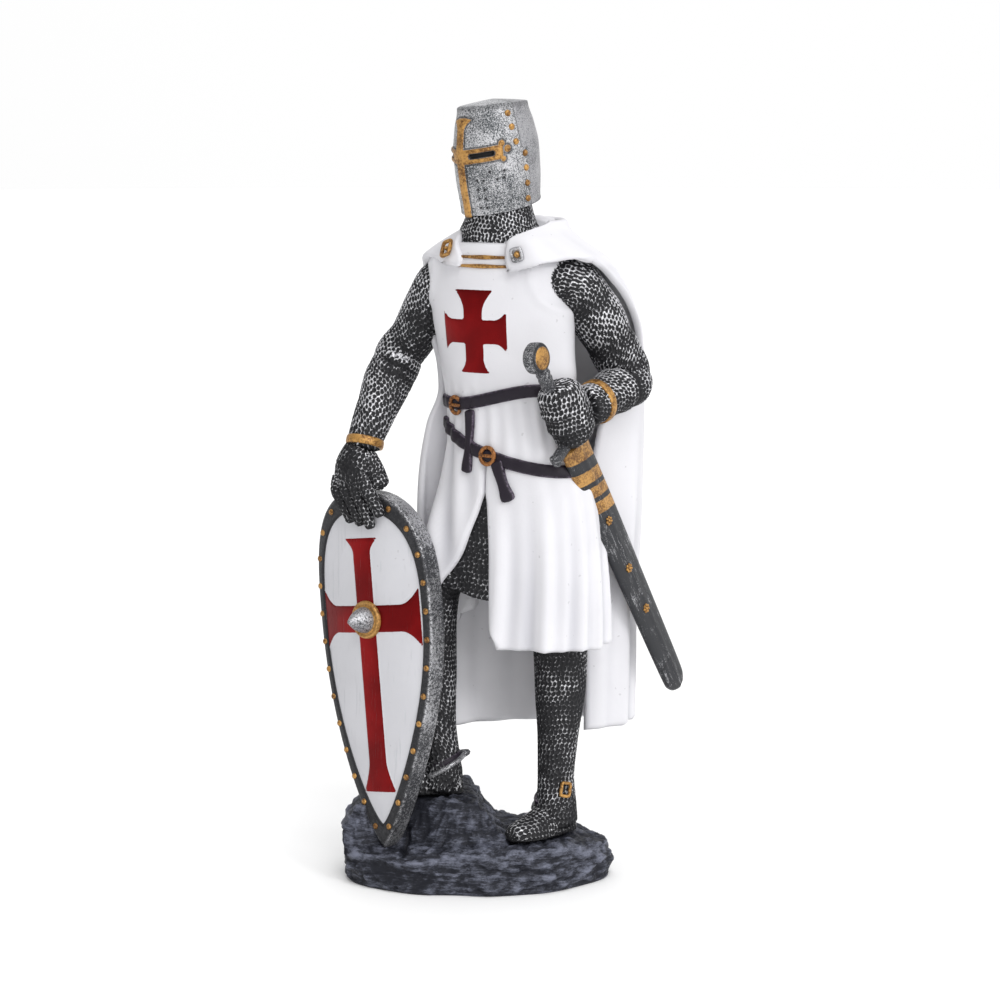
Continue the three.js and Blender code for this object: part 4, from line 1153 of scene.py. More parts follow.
def helm_marks(arc, high):
    """Distances inside the gilt cross, the slits and the dark marks, in millimetres."""
    side = np.abs(arc)
    flare = 3.0 * np.clip((high - 18.0) / 3.0, 0, 1) ** 2.4
    bar_top = 21.0 - high - 0.25 * np.maximum(side - 1.1, 0)
    bar = np.minimum(1.08 + flare - side, np.minimum(high + 1, bar_top))
    level = high - 12.7 - 0.06 * side
    arm = np.minimum(1.55 - np.abs(level), 10.2 - side)
    buds = [disc(side, level, *bud) for bud in ((10.0, 1.75, 0.75), (10.2, -1.6, 0.6), (11.3, 0.4, 0.8))]
    gilded = np.maximum.reduce([bar, arm, *buds])
    slit = 0.62 - np.hypot(level, np.maximum(np.abs(side - 5.3) - 2.5, 0))
    pairs = [(3.6 + 1.5 * c, 7.6 - 2.0 * r - 0.15 * c) for c in range(2) for r in range(4)]
    strays = ((6.7, 9.2), (8.3, 7.4), (9.9, 7.6), (10.1, 9.1))
    holes = [disc(side, high, *hole, 0.3) for hole in pairs]
    holes += [disc(side, high, *hole, 0.33) for hole in strays]
    return gilded, slit, np.maximum.reduce(holes)


print("helm is", helm_length, helm_width, helm_height, "mm")

# %% [markdown]
# ## The helm's mesh
#
# The helm is then a stack of ovals, closed at both ends. The distances lift the bands and sink the
# slits and holes, and they tell the paint where gilt and black wash go. With one number for height
# and colour, the two can't drift apart.

# %% Helm mesh and paint
seam_phase = math.radians(99)
seam_step = 1.9


def seam_at(high, seam_arc):
    """The seam of the rear plate steps forward above the cross bar."""
    return seam_arc - seam_step * ramp(13.1, 13.5, high) - 0.05 * np.maximum(high - 13.5, 0)


def helm():
    columns = 300
    phase = np.linspace(-math.pi, math.pi, columns + 1)[None, :]
    wall = np.linspace(0, 1, 116)
    profile = [(0.03, 0), (0.03, 0.5), (0.03, 0.86), (0.0, 0.93), (-0.004, 0.965), (-0.004, 0.99)]
    profile += [(level, 1) for level in wall]
    profile += [(1.006, 0.985), (1.012, 0.955), (1.018, 0.9), (1.028, 0.6), (1.034, 0.3), (1.036, 0)]
    level, size = two_columns(profile)
    places = helm_skin(phase + 0 * level, level + 0 * phase, size)
    middle = helm_skin(phase, np.full_like(phase, 0.5))
    run = run_along(middle[0])
    arc = (run - run[columns // 2])[None, :] + 0 * level
    seam_arc = np.interp(seam_phase, phase[0], run) - run[columns // 2]
    high = level * helm_height + 0 * phase
    gilded, slit, holes = helm_marks(arc, high)
    gilded = np.where(size > 0.97, gilded, -5)
    body = np.abs(arc) - seam_at(high, seam_arc)
    lift = 0.42 * ramp(-0.1, 0.35, gilded) - 1.5 * ramp(-0.1, 0.3, slit) - 0.35 * ramp(-0.1, 0.2, holes)
    lift = lift - 0.28 * ramp(-0.1, 0.3, body) - 0.2 * hill(body, 0.1, 0.25)
    wash = np.maximum.reduce([
        hill(gilded, -0.22, 0.2) * (gilded < 0), ramp(-0.12, 0.1, slit), ramp(-0.15, 0.15, holes),
        0.85 * hill(body, 0.1, 0.22), 0.4 * ramp(21.8, 22.8, high) * (size > 0.95),
    ])
    places = with_poles(places + outward(places) * (lift * (size >= 0.985))[..., None])
    gilded = np.minimum(gilded, -slit)
    return grid_mesh("helm", places, {"wash": wash, "gilded": gilded, "rear": ramp(0, 0.3, body)})


def helm_paint():
    paint = Paint("helm_silver", IOR=1.5)
    grain = paint.speckle(0.33, 4, 0.8)
    fine = paint.speckle(0.16, 2, 0.6)
    patch = paint.speckle(7, 2, 0.5)
    rear = paint.field("rear")
    wash = paint.field("wash")
    caught = (grain * 0.6 + fine * 0.4 + (patch - 0.5) * 0.24 + rear * 0.03).rise(0.44, 0.57)
    colour = paint.blend(caught, (0.038, 0.045, 0.05), (0.58, 0.58, 0.60))
    colour = paint.blend(rear * 0.5, colour, (0.21, 0.205, 0.22))
    colour = paint.blend(wash, colour, black)
    gold, _ = gilt_colour(paint)
    gilded = (paint.field("gilded") + (grain - 0.5) * 0.12).rise(-0.03, 0.05)
    colour = paint.blend(gilded, colour, gold)
    return paint.finish(
        Base_Color=colour, Metallic=0.5 - wash * 0.5, Roughness=0.42 + wash * 0.3,
        height=grain, depth_mm=0.10,
    )


figure_piece("helm", welded(helm()), helm_paint())

# %% [markdown]
# ## Small domes
#
# Rivets on the helm and the shield are low domes. Each is a small sphere, flattened along the
# direction in which it stands out. Half of it lies in the wall, so that no gap can show under it.

# %% Rivets


def dome(body, centre, out, radius, height, sides=12):
    out = Vector(out).normalized()
    turn = out.to_track_quat("Z", "Y").to_matrix().to_4x4()
    turn.translation = Vector(centre) * MM
    ball = bmesh.ops.create_uvsphere(body, u_segments=sides, v_segments=8, radius=radius * MM)
    bmesh.ops.scale(body, vec=(1, 1, height / radius), verts=ball["verts"])
    bmesh.ops.transform(body, matrix=turn, verts=ball["verts"])


def finished(body, name):
    for face in body.faces:
        face.smooth = True
    mesh = bpy.data.meshes.new(name)
    body.to_mesh(mesh)
    body.free()
    return mesh


def helm_rivets():
    body = bmesh.new()
    lower = [(93, high) for high in (1.7, 5.2, 8.7, 12.0)]
    upper = [(81, 14.9), (78, 18.2), (75, 21.2)]
    for side in (-1, 1):
        for degrees, high in lower + upper:
            spot = helm_skin(np.array([side * math.radians(degrees)]), np.array([high / helm_height]))[0]
            dome(body, spot, spot - helm_foot - helm_up * high, 0.76, 0.5)
    return finished(body, "helm_rivets")


figure_piece("helm_rivets", helm_rivets(), gilt)

# %% [markdown]
# ## Straps and belts
#
# A strap is a long, flat piece of leather: its section is a rounded oblong that travels along a
# route on the body. The same function makes the belts, their hanging ends and buckles, the straps
# and bars of the spurs, the gilt cuffs and the cords at the throat, by changing width and thickness.
# A bevelled curve could do it too, but its section would roll, where a belt lies flat on the body.

# %% Straps


def strap(name, route, outs, width, lift, sink=0.5, closed=False, sharp=4.0, sides=18):
    """route and outs are arrays of places and outward directions; width may change along it."""
    route, outs = np.asarray(route, float), unit(outs)
    ahead = np.gradient(route, axis=0)
    if closed:
        ahead[0] = ahead[-1] = route[1] - route[-2]
    ahead = unit(ahead)
    side = unit(np.cross(outs, ahead))
    width = np.broadcast_to(np.asarray(width, float), len(route))[:, None]
    angle = full_turn(sides)
    box = boxed(angle, sharp)
    run = run_along(route)
    end = np.ones(len(route)) if closed else rounded(np.minimum(run, run[-1] - run), 0.7)
    thick = (lift + sink) / 2
    a = width / 2 * box * np.cos(angle) * end[:, None]
    b = (lift - sink) / 2 + thick * box * np.sin(angle) * end[:, None]
    places = route[:, None] + side[:, None] * a[..., None] + outs[:, None] * b[..., None]
    edge = ramp(0.62, 0.95, np.abs(box * np.cos(angle))) + 0 * a
    return welded(grid_mesh(name, places, {"relief": edge, "wash": 0.0}))


def on_body(angles, heights, skin=body_skin):
    angles, heights = np.radians(np.asarray(angles, float)), np.asarray(heights, float)
    spot = skin(angles, heights)
    turn = skin(angles + 0.03, heights) - skin(angles - 0.03, heights)
    rise = skin(angles, heights + 0.4) - skin(angles, heights - 0.4)
    return spot, unit(np.cross(turn, rise))


def upper_belt(angle):
    return 100 + 3.8 * ramp(-125, -40, np.asarray(angle, float))


def lower_belt(angle):
    return 91.6 - 5.4 * np.cos(np.radians(angle + 12)) + 1.2 * np.sin(np.radians(angle))


belt_width = 2.9
belt_thickness = 0.7
belts = {
    "belt_upper": (np.linspace(-188, 12, 150), upper_belt),
    "belt_lower": (np.linspace(-154, 12, 140), lower_belt),
}
for name, (angles, height) in belts.items():
    route = on_body(angles, height(angles))
    figure_piece(name, strap(name, *route, belt_width, belt_thickness + 0.15, 0.8), leather)

# %% [markdown]
# ## Belt ends and buckles
#
# Each belt's free end is drawn through its buckle and hangs down, narrowest at its middle. The
# buckles are of bronze, the upper one a C and the lower one a plain ring, each with its tongue.
# Both are straps again, one bent round a circle and one laid straight across it.

# %% Belt ends, buckles


def hanging(name, angle, top, bottom, drift, width):
    share = np.linspace(0, 1, 50)
    angles = angle + drift * share
    heights = mix(top, bottom, share)
    spot, out = on_body(angles, heights)
    taper = width * (1 - 0.2 * hill(share, 0.5, 0.25) + 0.12 * hill(share, 0.86, 0.1))
    figure_piece(name, strap(name, spot, out, taper, belt_thickness + 0.55, 0.5), leather)


def buckle(name, angle, height, radius, opened=0.0, squash=1.0):
    spot, out = on_body([angle], [height])
    spot, out = spot[0] + out[0] * 0.75, out[0]
    across = unit(np.cross((0, 0, 1), out))
    up = np.cross(out, across)
    turn = np.linspace(opened, TAU - opened, 48 if opened else 49)
    spoke = across * np.cos(turn)[:, None] * squash + up * np.sin(turn)[:, None]
    ring = spot + spoke * radius
    figure_piece(name, strap(name, ring, unit(spoke), 0.9, 0.45, 0.45, closed=not opened, sharp=2.4), bronze)
    tongue = spot + np.linspace(-1, 1, 12)[:, None] * across * radius * 0.95
    bar = strap(name + "_tongue", tongue, np.tile(out, (12, 1)), 0.8, 0.55, 0.2, sharp=2.4)
    figure_piece(name + "_tongue", bar, bronze)


hanging("belt_end_upper", -106, 99, 84.5, 2, 2.4)
hanging("belt_end_lower", -79, 88, 79, 9, 3.0)
buckle("buckle_upper", -122, 99.7, 1.9, opened=0.5, squash=0.8)
buckle("buckle_lower", -85.5, 88.9, 1.9)

# %% [markdown]
# ## Cuffs and spurs
#
# Gilt straps close the mail sleeves at the wrists. Each spur has a leather strap over the instep, a
# steel bar round the heel and a short prong. Strap and bar could be cut from one band, but they
# start together at the heel and the bar drops more toward the toe, so each has its own route.

# %% Cuffs and spurs


def cuff(name, centre, ahead, wide, deep, side, paint, width=2.0, lift=0.32):
    ahead = unit(ahead)
    across = unit(np.asarray(side, float) - ahead * (ahead @ np.asarray(side, float)))
    up = np.cross(ahead, across)
    turn = np.linspace(0, TAU, 73)[:, None]
    ring = np.asarray(centre) + [0, 0, slab] + across * wide * np.cos(turn) + up * deep * np.sin(turn)
    out = across * np.cos(turn) / wide + up * np.sin(turn) / deep
    figure_piece(name, strap(name, ring, out, width, lift, 0.8, closed=True), paint)


cuff("cuff_right", (-20.8, -14.4, 90.5), (0.02, -0.35, -0.94), 4.05, 4.05, side_x, gilt)
cuff("cuff_left", (29.4, 5.4, 101.2), (-0.08, -0.97, -0.24), 4.8, 4.7, side_z, gilt)


def spur(name, heel, toe, reach, deep, wide, high):
    """A strap over the instep, a bar round the heel that drops toward the toe, and a short prong."""
    up = np.array([0, 0, 1])
    ahead = unit((toe - heel) * [1, 1, 0])
    side = np.cross(up, ahead)
    ankle = heel + ahead * reach
    centre = ankle + up * slab
    tilt = unit(ahead * 0.34 + up * 0.94)
    size = (wide - 0.15, deep - 0.15)
    cuff(name + "_strap", ankle + up * (high - 1.2), tilt, *size, side, leather, 1.5, 0.25)
    turn = np.radians(np.linspace(-134, 134, 60))[:, None]
    out = side * np.sin(turn) - ahead * np.cos(turn)
    bar = centre - ahead * deep * np.cos(turn) + side * wide * np.sin(turn)
    bar = bar + up * (high - 5.3 + 2.65 * (1 + np.cos(turn)))
    figure_piece(name + "_bar", strap(name, bar, out, 1.2, 0.75, 0.5, sharp=2.2, sides=12), steel)
    root = heel + ahead * (reach - deep + 0.6) + up * high
    prong = ((0, 1.1), (1.3, 0.85), (2.4, 0.5))
    rows = [(*(root - ahead * away + up * away * 0.3), radius, radius) for away, radius in prong]
    places, *_ = limb(rows, side_z, 0.3, close=0.5)
    figure_piece(name, welded(grid_mesh(name, places, {"wash": 0.0})), dark_steel)


spur("spur_left", *left_shoe, 6.1, 4.9, 4.1, 9.6)
spur("spur_right", *right_shoe, 4.9, 4.7, 4.6, 8.4)

# %% [markdown]
# ## Throat
#
# Two gilt cords join the brooches that hold the cloak. They are strips on the surcoat's skin that
# swell in the middle. A brooch is a square frame round a small dome, and the same frame, without
# the dome, is the buckle at the left ankle.

# %% Throat


def cord(name, height, start, end):
    angles = np.linspace(start, end, 60)
    spot, out = on_body(angles, np.full(60, height))
    swell = 0.7 + 0.3 * hill(np.linspace(-1, 1, 60), 0, 0.4)
    figure_piece(name, strap(name, spot, out, swell, 0.55, 0.4, sharp=2.2), gilt)


cord("cord_upper", 133.3, -108, -64)
cord("cord_lower", 131.3, -110, -64)


def square_frame(name, spot, out, wide, high, tilt, paint):
    """A square ring that lies flat on a surface, turned by tilt about its outward direction."""
    across = unit(np.cross((0, 0, 1), out))
    up = np.cross(out, across)
    lean = math.radians(tilt)
    cos, sin = math.cos(lean), math.sin(lean)
    across, up = across * cos + up * sin, up * cos - across * sin
    turn = np.linspace(0, TAU, 65)
    square = boxed(turn, 6)
    spoke = across * (wide * np.cos(turn) * square)[:, None]
    spoke = spoke + up * (high * np.sin(turn) * square)[:, None]
    ring = strap(name, spot + spoke + out * 0.35, unit(spoke), 0.9, 0.4, 0.4, closed=True, sharp=2.6)
    figure_piece(name, ring, paint)


def brooch(name, degrees, height, wide, high, tilt, stone, paint):
    spot, out = on_body([degrees], [height], cloak_skin)
    square_frame(name, spot[0], out[0], wide, high, tilt, paint)
    body = bmesh.new()
    dome(body, spot[0], out[0], wide * stone, 0.9, 20)
    figure_piece(name + "_stone", finished(body, name), gilt)


brooch("brooch_right", 235, 134.9, 1.3, 1.8, 20, 0.4, gilt)
brooch("brooch_left", -71, 134.2, 1.15, 1.3, 14, 0.7, steel)
outer_ankle = np.array([19.9, 7.1, 10.9 + slab])
square_frame("ankle_buckle", outer_ankle, unit([0.86, -0.5, 0.1]), 1.1, 1.5, -12, gilt)

# %% [markdown]
# ## The sword
#
# Pommel, grip, guard and scabbard are one straight bar through the closed left fist. Its own axes
# are the line of the blade, the edge and the flat. Each part is given along those axes, so nothing
# has to be turned into place afterwards.

# %% The sword's axes
grip_centre = np.array([26.5, -4.7, 98.7 + slab])
sword_down = unit([0.06, 0.529, -0.847])
sword_edge = np.array([0, -0.848, -0.53])
sword_edge = unit(sword_edge - sword_down * (sword_edge @ sword_down))
sword_flat = np.cross(sword_down, sword_edge)
pommel_at = -15.84
guard_at = 7.04
mouth = guard_at + 1
sword_end = pommel_at - 3.5 + 99


def on_sword(along, edge, flat):
    along, edge, flat = np.broadcast_arrays(along, edge, flat)
    return (grip_centre + along[..., None] * sword_down + edge[..., None] * sword_edge
            + flat[..., None] * sword_flat)


def sword_piece(name, mesh, paint):
    place_piece(name, mesh, paint, "sword")


def sword_loft(name, rows, paint, sides, sharp=2.0, fields=None, ridge=0.0):
    """rows are along, half edge, half flat; closed at both ends."""
    table = np.array(rows, float)
    angle = full_turn(sides)
    box = boxed(angle, sharp)
    along = table[:, :1] + 0 * angle
    edge = table[:, 1:2] * box * np.cos(angle)
    flat = table[:, 2:3] * box * np.sin(angle) * (1 + ridge * hill(np.cos(angle), 0, 0.12))
    marks = fields(along, edge) if fields else {"wash": 0.0}
    sword_piece(name, welded(grid_mesh(name, on_sword(along, edge, flat), marks)), paint)


scabbard_rows = [
    (mouth, 1, 1),
    (mouth + 12, 1, 1),
    (mix(mouth, sword_end, 0.55), 0.9, 0.95),
    (sword_end - 9, 0.8, 0.9),
    (sword_end - 3, 0.74, 0.9),
    (sword_end - 0.8, 0.5, 0.8),
    (sword_end, 0.2, 0.5),
]

# %% [markdown]
# ## Scabbard
#
# Dark leather brushed with silver along its length. A low ridge runs down the middle of the flat,
# slanted gilt bands hold the throat, and three small rosettes sit along it. It is lofted from
# rounded oblongs that taper to the tip, and the bands are paint on the same mesh.

# %% Scabbard
scabbard_edge = 4.6
scabbard_flat = 1.5


def scabbard():
    steps = np.linspace(mouth, sword_end, 260)
    edge, flat = stations(scabbard_rows, steps)
    rows = [(a, scabbard_edge * e, scabbard_flat * f) for a, e, f in zip(steps, edge, flat)]
    rows = [(mouth, 0, 0), *rows, (sword_end + 0.05, 0, 0)]

    def marks(along, edge_mm):
        down = along - mouth + 0.3 * edge_mm
        spans = ((0.2, 4.2), (7.0, 10.2), (11.4, 14.2), (15.4, 18.5))
        band = np.maximum.reduce([np.minimum(down - first, last - down) for first, last in spans])
        chape = np.abs(along - (sword_end - 9) - 0.25 * edge_mm ** 2 * 0.4)
        return {"gilded": band, "wash": 0.75 * hill(chape, 0, 0.3) + 0.6 * hill(band, -0.25, 0.2)}

    sword_loft("scabbard", rows, scabbard_paint(), 48, 2.6, marks, ridge=0.16)


def scabbard_paint():
    paint = Paint("scabbard_silver", IOR=1.5)
    turn = Vector(sword_down).to_track_quat("Z", "Y").inverted().to_euler()
    lined = paint.node("ShaderNodeMapping", values={"Vector": paint.place, "Rotation": tuple(turn)})
    streaks = paint.node("ShaderNodeMapping", values={"Vector": lined, "Scale": (1, 1, 0.16)})
    brushed = paint.node(
        "ShaderNodeTexNoise",
        values={"Vector": streaks, "Scale": 1500, "Detail": 4.0, "Roughness": 0.7},
    )
    grain = paint.speckle(0.32, 3, 0.75)
    caught = (brushed * 0.6 + grain * 0.4 + (paint.speckle(8, 1, 0.5) - 0.5) * 0.25).rise(0.53, 0.69)
    wash = paint.field("wash")
    colour = paint.blend(caught, (0.022, 0.023, 0.027), (0.42, 0.42, 0.44))
    colour = paint.blend(wash, colour, black)
    gold, _ = gilt_colour(paint)
    gilded = (paint.field("gilded") + (grain - 0.5) * 0.3).rise(-0.05, 0.1)
    colour = paint.blend(gilded, colour, gold)
    return paint.finish(
        Base_Color=colour, Metallic=0.3 + caught * 0.4, Roughness=0.46,
        height=brushed * 0.5 + grain * 0.5, depth_mm=0.08,
    )


scabbard()

# %% [markdown]
# ## Hilt
#
# The pommel is a thick disc, gilt in the middle of each face. The grip has the ripple of its
# winding, and the guard is a flat bar that bends a little toward the blade at its ends. All three
# are sections stepped along a line, a simpler way than cutting them from solid bars.

# %% Hilt


def hilt():
    turn = full_turn(60)
    flat = np.array([-1.7, -1.7, -1.7, -1.5, -1.05, -0.4, 0.4, 1.05, 1.5, 1.7, 1.7, 1.7])[:, None]
    radius = np.array([0, 1.9, 2.5, 3.0, 3.45, 3.5, 3.5, 3.45, 3.0, 2.5, 1.9, 0])[:, None]
    places = on_sword(pommel_at + radius * np.cos(turn), radius * np.sin(turn), flat + 0 * turn)
    ringed = 0.9 * hill(radius, 2.9, 0.3) + 0 * turn
    sword_piece("pommel", welded(grid_mesh("pommel", places, {"wash": ringed})), dark_steel)
    body = bmesh.new()
    for side in (-1, 1):
        dome(body, on_sword(pommel_at, 0.0, side * 1.65), sword_flat * side, 2.6, 0.45, 28)
    sword_piece("pommel_gilt", finished(body, "pommel_gilt"), gilt)
    steps = np.linspace(pommel_at + 2.8, guard_at, 60)
    wrap = 1 + 0.05 * np.sin(steps * 4.2)
    grip = [(a, 1.65 * w, 1.55 * w) for a, w in zip(steps, wrap)]
    grip = [(steps[0], 0, 0), *grip, (guard_at, 0, 0)]
    sword_loft("grip", grip, dark_steel, 24)


hilt()


def guard():
    share = np.linspace(-1, 1, 60)
    edge = share * 8.4
    along = guard_at - 0.6 + 0.5 * share ** 2
    swell = 1.05 + 0.35 * hill(np.abs(share), 0.96, 0.1)
    spot = on_sword(along, edge, 0.0)
    out = np.tile(sword_flat, (60, 1))
    sword_piece("guard", strap("guard", spot, out, 2.3 * swell, 1.15, 1.15, sharp=3), dark_steel)


guard()

# %% [markdown]
# ## Rosettes
#
# Each rosette is a small flower of seven petals around a bead, a pattern as old as metalwork. It is
# repeated three times on each flat of the scabbard, and the rivets' dome makes bead and petals.

# %% Rosettes
petals = 7


def rosettes():
    body = bmesh.new()
    for along in (21.0, 34.8, 46.8):
        flat = float(stations(scabbard_rows, mouth + along)[1])
        for side in (-1, 1):
            middle = on_sword(mouth + along, 0.8, side * (scabbard_flat * flat + 0.1))
            dome(body, middle, sword_flat * side, 0.42, 0.42, 10)
            for n in range(petals):
                turn = TAU * n / petals
                petal = middle + (sword_down * math.cos(turn) + sword_edge * math.sin(turn)) * 0.8
                dome(body, petal, sword_flat * side, 0.36, 0.3, 8)
    return finished(body, "rosettes")


sword_piece("rosettes", rosettes(), gilt)

# %% [markdown]
# ## The left fist
#
# The left fist is closed round the grip, with four finger rolls at the front and mail over all of
# it. At this size grooves in one form read better than four fingers that overlap.

# %% Left fist
fist_width = 16


def fist():
    rows, columns = 76, 150
    share = np.linspace(-0.5, 0.5, rows + 1)[:, None]
    angle = full_turn(columns) + math.pi
    end = np.sqrt(np.clip(1 - np.abs(2 * share) ** 4, 0, 1))
    groove = 1 - np.abs(np.cos((share + 0.5) * 4 * math.pi)) ** 0.7
    front = np.clip(np.cos(angle), 0, 1)
    edge = (5.7 * np.cos(angle) + 0.95 * (groove - 0.5) * front - 1.6) * end
    flat = (5.1 * np.sin(angle) - 0.6) * end
    along = share * fist_width + 0.5 * (1 - end)
    places = on_sword(along, edge, flat)
    across_mm = np.linspace(-0.5, 0.5, columns + 1)[None, :] * 33.5 * np.maximum(end, 0.3)
    places, relief = mailed(places, across_mm, np.broadcast_to(share * fist_width, across_mm.shape))
    figure_piece("fist_left", welded(grid_mesh("fist_left", with_poles(places), {"relief": relief})), mail)


fist()

# %% [markdown]
# ## The shield's axes and the right hand
#
# The shield leans back a little and stands on its tip. Across, up and out of its face are its axes.
# The right hand lies on its top edge, four fingers down the face and the thumb beside them. From
# the palm on it is placed by the same axes, so that the fingers follow the shield's lean.

# %% Shield axes and right hand
shield_height, shield_width, shield_thickness = 82, 35.2, 4.4
shield_tip = np.array([-12.1, -19, -2 + slab])
shield_up = unit([-0.128, 0.047, 0.991])
shield_out = np.array([-0.12, -0.992, 0])
shield_out = unit(shield_out - shield_up * (shield_out @ shield_up))
shield_across = np.cross(shield_up, shield_out)


def on_shield(across, out, up):
    across, out, up = np.broadcast_arrays(across, out, up)
    return (shield_tip + across[..., None] * shield_across + out[..., None] * shield_out
            + up[..., None] * shield_up)


def by_shield(across, out, up, wide, deep):
    x, y, z = on_shield(float(across), float(out), float(up))
    return (x, y, z - slab, wide, deep)


top = shield_height


def hand_piece(name, rows, close, finer=1.15):
    mail_limb(name, rows, shield_across, seam_angle=-quarter, close=close, paint=dark_mail, finer=finer)


palm = [
    (-20.8, -15, 89.4, 3.8, 3.7),
    by_shield(1.4, 1.6, top + 5.6, 5.2, 3.2),
    by_shield(1.2, 2, top + 2.4, 5.4, 2.5),
    by_shield(1.2, 1.8, top + 0.2, 4.6, 1.9),
]
hand_piece("hand_right", palm, 1.0, finer=1.0)
finger_rows = [(-2.8, -3.3, -1.5, 7.2), (-0.8, -0.4, 1.5, 8), (1.8, 2.6, 4.6, 8.8), (4.2, 5.6, 8, 6.2)]
for n, (root, knuckle, end, drop) in enumerate(finger_rows):
    finger = [
        by_shield(root, 2.4, top + 4.2, 1.5, 1.5),
        by_shield(knuckle, 2.8, top + 1, 1.55, 1.6),
        by_shield(mix(knuckle, end, 0.6), 1.7, top - drop / 2, 1.35, 1.35),
        by_shield(end, 1.0, top - drop, 1.05, 1),
    ]
    hand_piece(f"finger_{n + 1}", finger, 0.9)
thumb = [
    by_shield(3.6, 0.4, top + 8, 2.6, 2.6),
    by_shield(6.4, 0.4, top + 4, 2.4, 2.3),
    by_shield(8.8, 0.4, top + 0.4, 1.7, 1.7),
]
hand_piece("thumb", thumb, 1.1)

# %% [markdown]
# ## The shield
#
# A kite shield with a flat, dark rim. Its outline is wide near the top and runs to a point. Rings
# of that outline, drawn in toward a heart, make the face, and the same rings stepped outwards and
# back make the rim and the side. The red cross has long arms that widen at their ends.

# %% Shield


def shield_half(share):
    widest = 0.66
    t = np.clip((share - widest) / (1 - widest), 0, 1)
    upper = np.maximum(0, 1 - t ** 3) ** 0.43
    lower = np.sin(quarter * np.clip(share / widest, 0, 1)) ** 0.78
    return np.where(share > widest, upper, lower)


def shield_rings(profile, columns=280):
    """Rings of the outline. Each row of the profile is the outline's share and how far out it lies."""
    turn = full_turn(columns)
    share = (1 - np.cos(turn)) / 2
    across = np.where(np.sin(turn) < 0, -1, 1) * shield_half(share) * shield_width / 2
    up = share * shield_height
    heart = 0.55 * shield_height
    scale, out = two_columns(profile)
    x = across * scale
    z = heart + (up - heart) * scale
    face = -3 * (2 * x / shield_width) ** 2
    return x, face + out, z


rim_share = 1 - 4 / shield_width


def shield_board():
    inner = [(s, 0.0) for s in np.linspace(0, rim_share + 0.02, 54)]
    x, out, z = shield_rings(inner)
    side, up = x + 0.2, z - 52.6
    red = np.maximum.reduce([
        flared_arm(side, up, 2.75, 18.6, 5.5, 3.6), flared_arm(side, -up, 2.75, 39.8, 5.1, 7.0, 1.5),
        flared_arm(up, side, 3.1, 15.2, 6.9, 5.2), flared_arm(up, -side, 3.1, 15.2, 6.9, 5.2),
    ])
    out = out + 0.16 * ramp(-0.2, 0.2, red)
    return welded(grid_mesh("shield_board", on_shield(x, out, z), {"red": red, "fold_shade": 0.0}))


def shield_frame():
    t = shield_thickness
    inside = ((-0.012, -0.6), (-0.008, 0.1), (0, 0.35), (0.01, 0.45), (0.04, 0.5))
    profile = [(rim_share + share, out) for share, out in inside]
    profile += [(0.97, 0.5), (0.985, 0.42), (0.994, 0.25), (1.0, 0.0)]
    profile += [(1.0, -d) for d in np.linspace(0.3, t - 0.6, 14)]
    profile += [(0.99, -t + 0.2), (0.97, -t)] + [(s, -t) for s in np.linspace(0.94, 0, 26)]
    x, out, z = shield_rings(profile)
    share, depth = (column + 0 * x for column in two_columns(profile))
    front = ramp(-0.15, 0.2, depth)
    wash = 0.76 * front + 0.35 * hill(share, rim_share, 0.006)
    line = 1.2 * hill(share, 0.992, 0.007)
    wash = np.clip(wash - line, 0, 1)
    return welded(grid_mesh("shield_frame", on_shield(x, out, z), {"wash": wash}))


def shield_piece(name, mesh, paint):
    place_piece(name, mesh, paint, "shield")


shield_piece("shield_board", shield_board(), board_white)
shield_piece("shield_frame", shield_frame(), rim_steel)

# %% [markdown]
# ## Rivets and boss
#
# Gilt rivets follow the rim at even steps of its length. Where the arms of the cross meet, a steel
# boss stands on a gilt ring. These two could be spun from a profile. Here the profile's rings are
# stepped outwards along the shield's axes, and the grid closes them in the middle.

# %% Shield rivets and boss
rivet_count = 28
boss_height = 0.64 * shield_height


def shield_rivets():
    body = bmesh.new()
    x, out, z = shield_rings([(0.5 + rim_share / 2, 0.5)], columns=400)
    edge = on_shield(x, out, z)[0]
    run = run_along(edge)
    for n in range(rivet_count):
        along = (n + 0.5) * run[-1] / rivet_count
        spot = [np.interp(along, run, edge[:, axis]) for axis in range(3)]
        dome(body, spot, shield_out, 0.74, 0.5)
    return finished(body, "shield_rivets")


shield_piece("shield_rivets", shield_rivets(), gilt)


def turned(name, outs, radii, paint):
    """A turned part at the shield's boss, from how far out each ring lies and its radius."""
    angle = full_turn(48)
    out, radius = np.array(outs, float)[:, None], np.array(radii, float)[:, None]
    places = on_shield(radius * np.cos(angle), out + 0 * angle, boss_height + radius * np.sin(angle))
    shield_piece(name, welded(grid_mesh(name, places, {"wash": 0.0})), paint)


ring_outs = (-0.5, -0.5, 0.2, 0.75, 1.0, 1.0, 0.7, 0.8, 1.05, 0.9, 0.5)
ring_radii = (0, 4.3, 4.4, 4.3, 4.0, 3.7, 3.45, 3.2, 3.1, 2.9, 0)
boss_outs = (0.3, 0.3, 1.0, 1.8, 2.8, 3.8, 4.7, 5.3, 5.8, 6.1, 6.2)
boss_radii = (0, 3.0, 3.02, 2.85, 2.5, 2.0, 1.4, 0.95, 0.6, 0.3, 0)
turned("boss_ring", ring_outs, ring_radii, gilt)
turned("boss", boss_outs, boss_radii, steel)

# %% [markdown]
# ## The rock
#
# The rock is a low slab with a step under the raised foot. Its large form is the cast one. Chisel
# facets come from a cell noise, whose cells meet in edges, and finer grain from a fractal noise.
# Sculpting would be freer, but a noise follows the cast form by itself. A crack and a small pit are
# pressed into its front.

